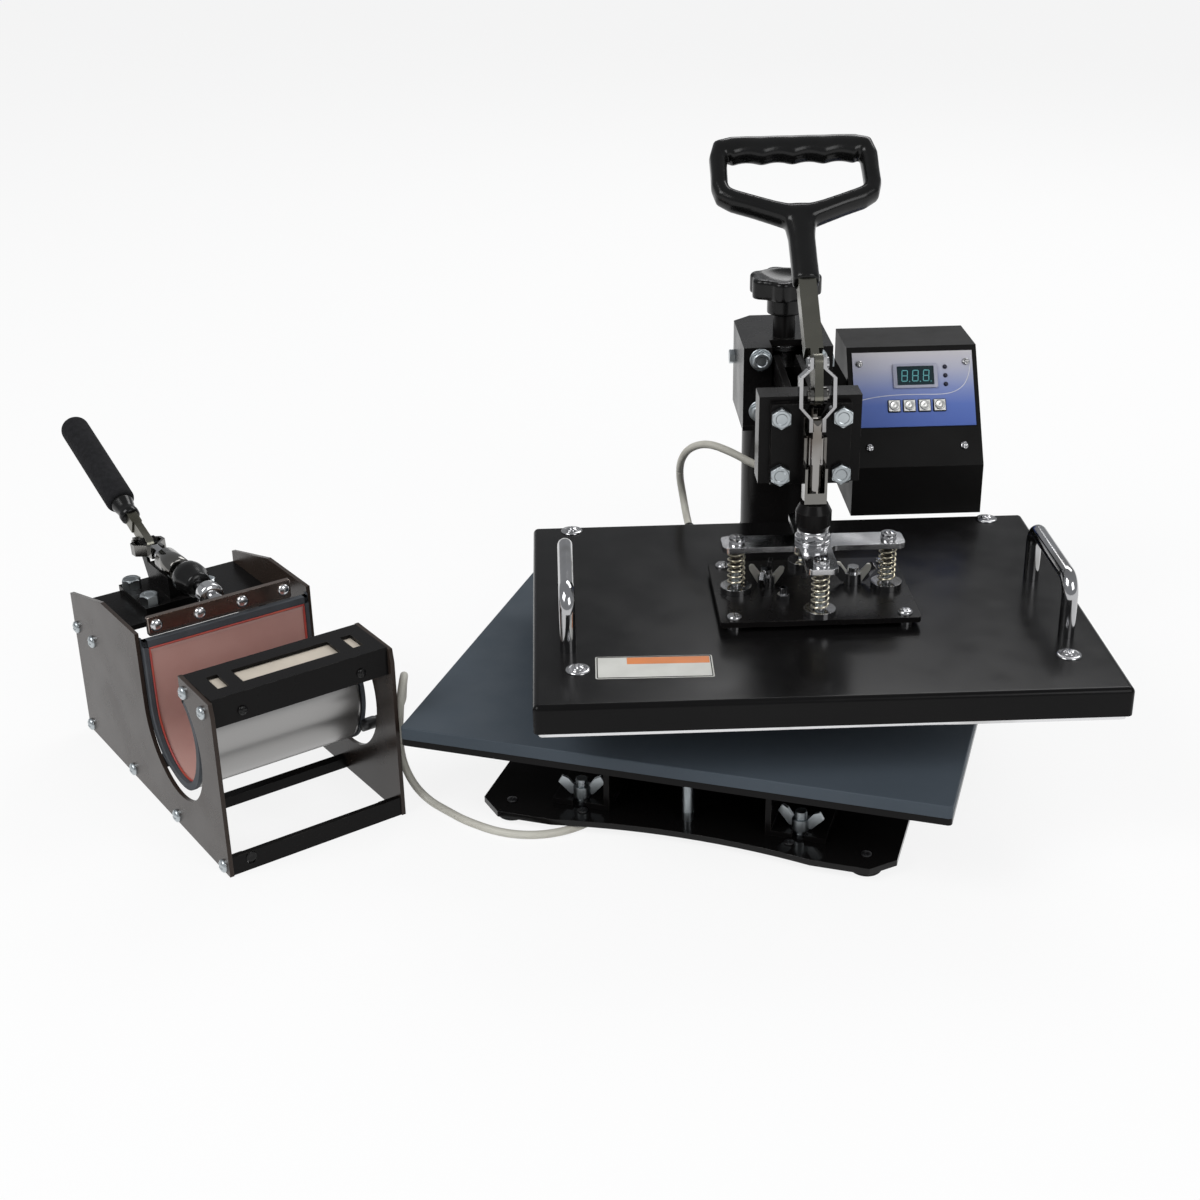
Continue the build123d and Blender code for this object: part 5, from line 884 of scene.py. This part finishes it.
def hollow_frame(place, outer, inner, heights):
    """Frame between two outlines: up its outside, over its top and down its inside."""
    points = []
    for spots, z in zip((outer, outer, inner, inner), heights):
        points += [at(place, x, y, z) for x, y in spots]
    return rings(points, len(outer), first=False, last=False)


def make_panel():
    """Line on the film, display with its digits and lamps, and the four buttons."""
    dress("control_panel", M["film"])
    swoosh = [(-45, -39.8), (-38, -38.2), (-28, -36.6), (-12, -35.5), (4, -35.6), (18, -36.0), (27, -35.6),
              (34, -33.6), (40, -29.6), (44, -23), (46.4, -14), (47.6, -4)]
    line = nurbs_line("swoosh", [Vector((x, y, 0)) for x, y in swoosh], 6)
    strip = ribbon(PANEL, [(p.x, p.y) for p in line], 0.28, 0.06)
    add_piece("film_line", [strip], "head", "line", smooth=False)

    bezel = hollow_frame(PANEL, round_rect(-16.4, -30.6, 19.4, -10.4, 1.4),
                         round_rect(-13.4, -28.3, 16.4, -12.7, 0.5), (0.0, 1.9, 2.3, 1.9))
    add_piece("display_bezel", [bezel], "head", "frame", smooth=False)

    slant = Matrix(((1, 0.08, 0, 0), (0, 1, 0, 0), (0, 0, 1, 0), (0, 0, 0, 1)))
    parts = []
    for n in (-1, 0, 1):
        spot = placed(PANEL, PANEL_X + n * 8.7, DISPLAY_Y, 1.52)
        for a, b in SEGMENTS:
            parts.append(segment(spot @ slant, Vector(a) * DIGIT, Vector(b) * DIGIT, BAR, 0.12))
        parts.append(plate(spot, round_rect(3.3, -5.2, 4.2, -4.3, 0.4, 3), 0, 0.12))
    add_piece("display_digits", parts, "head", "digit", smooth=False)

    lens = [(1.9, 0), (1.9, 0.35), (1.5, 0.8), (1.3, 1.3), (0.6, 1.75), (0, 1.85)]
    lamps = [lathe(placed(PANEL, 26, n * 7.2 + DISPLAY_Y, 0), lens, 20) for n in (-1, 0, 1)]
    add_piece("lamp_lenses", lamps, "head", "lamp")

    cap = [(4.1, 0), (3.9, 0.6), (3.5, 1.05), (3.0, 1.1), (2.5, 0.8), (1.2, 0.85), (0, 0.95)]
    for n in range(1, 5):
        spot = placed(PANEL, PANEL_X + (n - 2.5) * 12.2, -45, 1.8)
        add_piece(f"button_cap_{n}", [lathe(spot, cap, 32)], f"button_{n}", "button")
        rim = hollow_frame(spot, round_rect(-5.2, -5.2, 5.2, 5.2, 1.0),
                           round_rect(-4.6, -4.6, 4.6, 4.6, 0.15), (-1.79, -1.2, -1.0, -1.79))
        add_piece(f"button_rim_{n}", [rim], "head", "rubber", smooth=False)


make_panel()


# ---- label, left blank
M["label"] = plain("label_paper", (0.62, 0.62, 0.58), (0.54, 0.54, 0.50), rough=0.45)
M["band"] = plain("label_band", (0.70, 0.20, 0.03), (0.60, 0.17, 0.03), rough=0.4)


def make_label():
    """Paper on the cover with a ruled edge and a coloured band, and nothing written on it."""
    spot = placed(HEAD, -117.5, -279, 138.42, -1.2)
    paper = plate(spot, round_rect(-39.0, -16.0, 39.0, 16.0, 1.5), 0, 0.12)
    add_piece("blank_label", [paper], "upper_platen", "label", smooth=False)
    edge = round_rect(-37.8, -14.8, 37.8, 14.8, 0.8, 3)
    rule = tube([at(spot, x, y, 0.14) for x, y in edge], 0.00035, 6, True)
    add_piece("label_rule", [rule], "upper_platen", "rubber")
    band = plate(spot, round_rect(-18.0, 4.5, 37.0, 14.0, 0.6), 0.12, 0.18)
    add_piece("label_band", [band], "upper_platen", "band", smooth=False)


make_label()


# ---- grips and knob
LEAN = math.radians(50)  # the lever's lean when the press is open
GRIP = placed(HEAD, 0, -180, 290) @ Matrix.Rotation(math.pi / 2 - LEAN, 4, "X")  # at the lever's pivot


def make_d_grip():
    """Loop with finger grooves under its top bar, and a neck over the lever's stem."""
    top, groove, loop = 219.0, 22.5, []
    for n in range(25):
        x = -45 + 90 * n / 24
        low = 198.2 + 2.6 * abs(math.sin(math.pi * (x + 45) / groove)) ** 0.8
        loop.append((x, (top + low) / 2, (top - low) / 2, 9.2))
    side = [(52.6, 208.6, 8.4, 9.0), (54.8, 201.5, 6.6, 8.6), (55.0, 188, 6.2, 8.4), (55.2, 176, 6.3, 8.4),
            (53.0, 168.5, 7.0, 8.6), (46.0, 164.0, 7.2, 8.8), (32.0, 158.6, 7.0, 9.0),
            (18.0, 153.0, 7.4, 9.2), (7.0, 149.0, 8.6, 9.4)]
    loop += side + [(-x, y, wide, deep) for x, y, wide, deep in reversed(side)]
    neck = [(0, 91.2, 8.9, 8.9), (0, 92.4, 9.8, 9.6), (0, 110, 9.6, 9.4), (0, 130, 9.7, 9.3),
            (0, 140, 11.0, 9.4), (0, 147, 14.0, 9.4), (0, 152, 16.0, 9.0), (0, 157, 12.0, 7.0)]
    parts = [bar(GRIP, loop, True), bar(GRIP, neck)]
    fused(add_piece("d_grip", parts, "lever", "grip", ("lever_grip",)), 0.0013, 8)


make_d_grip()
moulded("star_knob", "pressure_knob", "knob", "grip", 0.0010, 10)
moulded("foam_sleeve", "mug_grip", "mug_lever_body", "foam", 0.0010, 14)


# ---- plungers and collars
def make_collars():
    """Chrome foot under the press's bumper, and the black and bright parts of the mug press's plunger."""
    foot = placed(HEAD, 0, -180, 0)
    parts = [lathe(foot, [(12.6, 184.05), (12.6, 185.3), (12.2, 185.8), (9.4, 185.8)]),
             lathe(foot, [(10.6, 185.6), (10.9, 186.2), (10.9, 192.0), (10.4, 193.0), (9.0, 193.2)]),
             hex_head(facing(HEAD, (0, -180, 185.6), UP), 22.0, 5.0)]
    add_piece("plunger_foot", parts, "ram", "chrome")

    axle = facing(MUG, (68, 0, 137), (0, 1, 0))
    barrel = [(9.05, 204.9), (9.5, 205.3), (9.5, 232.6), (9.05, 233.0)]
    add_piece("mug_guide_barrel", [lathe(axle, barrel)], "base", "smoke")
    end = [(5.2, 146.4), (8.8, 147.0), (9.4, 148.6), (9.4, 156.0), (8.2, 158.6), (5.2, 159.4)]
    add_piece("mug_rod_end", [lathe(axle, end)], "mug_ram", "silver")
    bumper = [(5.2, 169.6), (9.4, 169.8), (10.0, 172), (10.6, 177.6), (12.9, 183), (13.0, 189.4),
              (12.2, 192.6), (9.8, 195.4), (5.2, 195.5)]
    add_piece("mug_bumper", [lathe(axle, bumper)], "mug_ram", "grip")
    lean = math.radians(22)
    neck = facing(MUG, (68, 269, 137), (0, math.cos(lean), math.sin(lean)))
    collar = [(6.6, 33.5), (7.6, 34.2), (7.9, 38), (7.2, 40), (7.4, 44), (8.8, 50), (8.9, 53)]
    add_piece("mug_lever_collar", [lathe(neck, collar, 32)], "mug_lever_body", "grip")


make_collars()


# ---- mug wrap
M["rim"] = plain("wrap_rim", (0.050, 0.056, 0.064), (0.068, 0.075, 0.084), rough=0.6, grain=500,
                 depth=0.00004, level=0.25)
M["seam"] = plain("wrap_seam", (0.36, 0.040, 0.040), (0.44, 0.07, 0.035), rough=0.4)
M["tail"] = plain("wrap_tail", (0.56, 0.50, 0.42), (0.48, 0.43, 0.36), rough=0.5)
WRAP_Y, WRAP_Z = 79.0, 80.0  # axis of the wrap in the mug press's frame
WRAP_R = 46.0  # outside of its steel
WRAP_FRONT = 124.0  # degrees from the back, where the front lip ends
WRAP_ENDS = (3.3, 130.7)  # outer faces of its two borders
BORDER_IN, BORDER_OUT, BORDER_TOP = 4.9, -0.5, 129.6  # depths in the steel, and height of the back edge


def wrap_spot(radius, degrees):
    """(y, z) at this radius of the wrap."""
    angle = math.radians(degrees)
    return WRAP_Y + radius * math.cos(angle), WRAP_Z + radius * math.sin(angle)


def wrap_line(depth, top, front=WRAP_FRONT, count=60):
    """(y, z) of the wrap's section at a depth: front lip, round the cradle, up to the back edge."""
    spots = []
    for n in range(count + 1):
        degrees = front + (360 - front) * n / count
        spots.append(wrap_spot(WRAP_R - depth - 6.0 * smoothstep(262, 196, degrees), degrees))
    return spots + [(WRAP_Y + WRAP_R - depth, WRAP_Z + (top - WRAP_Z) * n / 10) for n in range(1, 11)]


def wrap_skin(x0, x1, depth, thick, top, swell=None, across=40):
    """Sheet of the wrap between x0 and x1; swell(share across, share along) moves its inner face, in mm."""
    points, faces = [], []
    layers = (wrap_line(depth, top), wrap_line(depth + thick, top))
    count = len(layers[0])
    for layer, line in enumerate(layers):
        for i in range(across + 1):
            for k, (y, z) in enumerate(line):
                if layer and swell:
                    push = swell(i / across, k / (count - 1))
                    away = Vector((WRAP_Y - y, WRAP_Z - z)).normalized() * push
                    y, z = y + away.x, z + away.y * (z < WRAP_Z)
                points.append(at(MUG, x0 + (x1 - x0) * i / across, y, z))
    half = (across + 1) * count
    for i in range(across):
        for k in range(count - 1):
            a = i * count + k
            faces.append((a, a + count, a + count + 1, a + 1))
            faces.append((half + a, half + a + 1, half + a + count + 1, half + a + count))
    rim = [(i * count + k, count, k == 0) for i in range(across) for k in (0, count - 1)]
    rim += [(i * count + k, 1, i > 0) for k in range(count - 1) for i in (0, across)]
    for a, step, turned in rim:
        quad = (a, a + step, half + a + step, half + a)
        faces.append(quad[::-1] if turned else quad)
    return points, faces


def wrap_prism(x0, x1, outer, inner):
    """Solid between x0 and x1 over the section between two lines of (y, z)."""
    section = outer + inner[::-1]
    return rings([at(MUG, x, y, z) for x in (x0, x1) for y, z in section], len(section))


def lining_swell(across, along):
    """Silicone pad: full in the middle, pulled thin where it is bound at its edges."""
    edge = min(across, 1 - across, along * 2, (1 - along) * 2)
    wave = 0.12 * math.sin(17 * along + 5 * across) * math.sin(9 * across - 4 * along)
    return -0.5 + smoothstep(0.0, 0.05, edge) * (0.7 + wave)


def make_wrap():
    """Steel sheet, silicone lining, the grey border bound over their edges and the red seam inside it."""
    steel = wrap_skin(6.0, 128.0, 0.0, 0.9, 126.5)
    add_piece("wrap_steel", [steel], "base", "stainless", ("mug_wrap_sheet",))
    lining = wrap_skin(5.0, 129.0, 1.0, 3.2, 123.8, lining_swell)
    add_piece("wrap_pad", [lining], "base", "lining", ("mug_wrap_lining",))
    border = [wrap_skin(x, x + 3.0, BORDER_OUT, BORDER_IN - BORDER_OUT, BORDER_TOP, across=3)
              for x in (WRAP_ENDS[0], WRAP_ENDS[1] - 3.0)]
    outer, inner = wrap_line(BORDER_OUT, BORDER_TOP), wrap_line(BORDER_IN, BORDER_TOP)
    border += [wrap_prism(*WRAP_ENDS, outer[a:b], inner[a:b]) for a, b in ((-2, None), (0, 2))]
    turns, back = range(285, 361, 5), (96, 112, BORDER_TOP)
    outer = [wrap_spot(46.2 + 3.8 * smoothstep(285, 320, degrees), degrees) for degrees in turns]
    outer += [(WRAP_Y + 50.0, z) for z in back]
    inner = [wrap_spot(45.8, degrees) for degrees in turns] + [(WRAP_Y + 45.8, z) for z in back]
    # end flange that closes the gap behind each side plate
    border += [wrap_prism(x, x + 1.1, outer, inner) for x in (3.3, 131.6)]
    add_piece("wrap_border", border, "base", "rim", smooth=False)

    section = wrap_line(4.7, 123.7, WRAP_FRONT + 5)
    left, right = 7.4, 126.6
    crossing = [left + (right - left) * n / 12 for n in range(1, 12)]
    line = [at(MUG, left, *spot) for spot in section] + [at(MUG, x, *section[-1]) for x in crossing]
    line += [at(MUG, right, *spot) for spot in reversed(section)]
    line += [at(MUG, x, *section[0]) for x in reversed(crossing)]
    add_piece("wrap_seam", [tube(line, 0.0008, 8, True)], "base", "seam")

    slope = [(53.2, 112.6), (47.6, 115.0), (45.6, 118.6), (43.4, 125.4), (40.6, 129.0), (37.0, 130.2),
             (15.0, 130.4)]
    tail = wrap_prism(12.0, 122.0, slope, [(y - 0.4, z - 0.9) for y, z in slope])
    add_piece("wrap_tail", [tail], "base", "tail", smooth=False)


def make_strip():
    """Clamp strip with eased edges, and four domed screws through its face."""
    face = plate(facing(MUG, (65, 129, 137.2), FRONT), round_rect(-55, -7.2, 55, 7.2, 1.2, 4), 0, 4.0, 0.6)
    add_piece("clamp_strip_bar", [face], "mug_ram", "strip", ("mug_clamp_strip",),
              smooth=False)
    dome = [(4.6, 0), (4.6, 0.5), (4.2, 1.4), (3.4, 2.2), (2.2, 2.7), (1.0, 2.95), (0, 3.0)]
    heads = [lathe(facing(MUG, (16 + 98 * n / 3, 125.1, 137.6), FRONT), dome, 28) for n in range(4)]
    add_piece("strip_screw_domes", heads, "mug_ram", "silver")


M["strip"] = bright("strip_steel", (0.24, 0.19, 0.165), 0.24, stain=(0.20, 0.20, 0.19))
make_wrap()
make_strip()
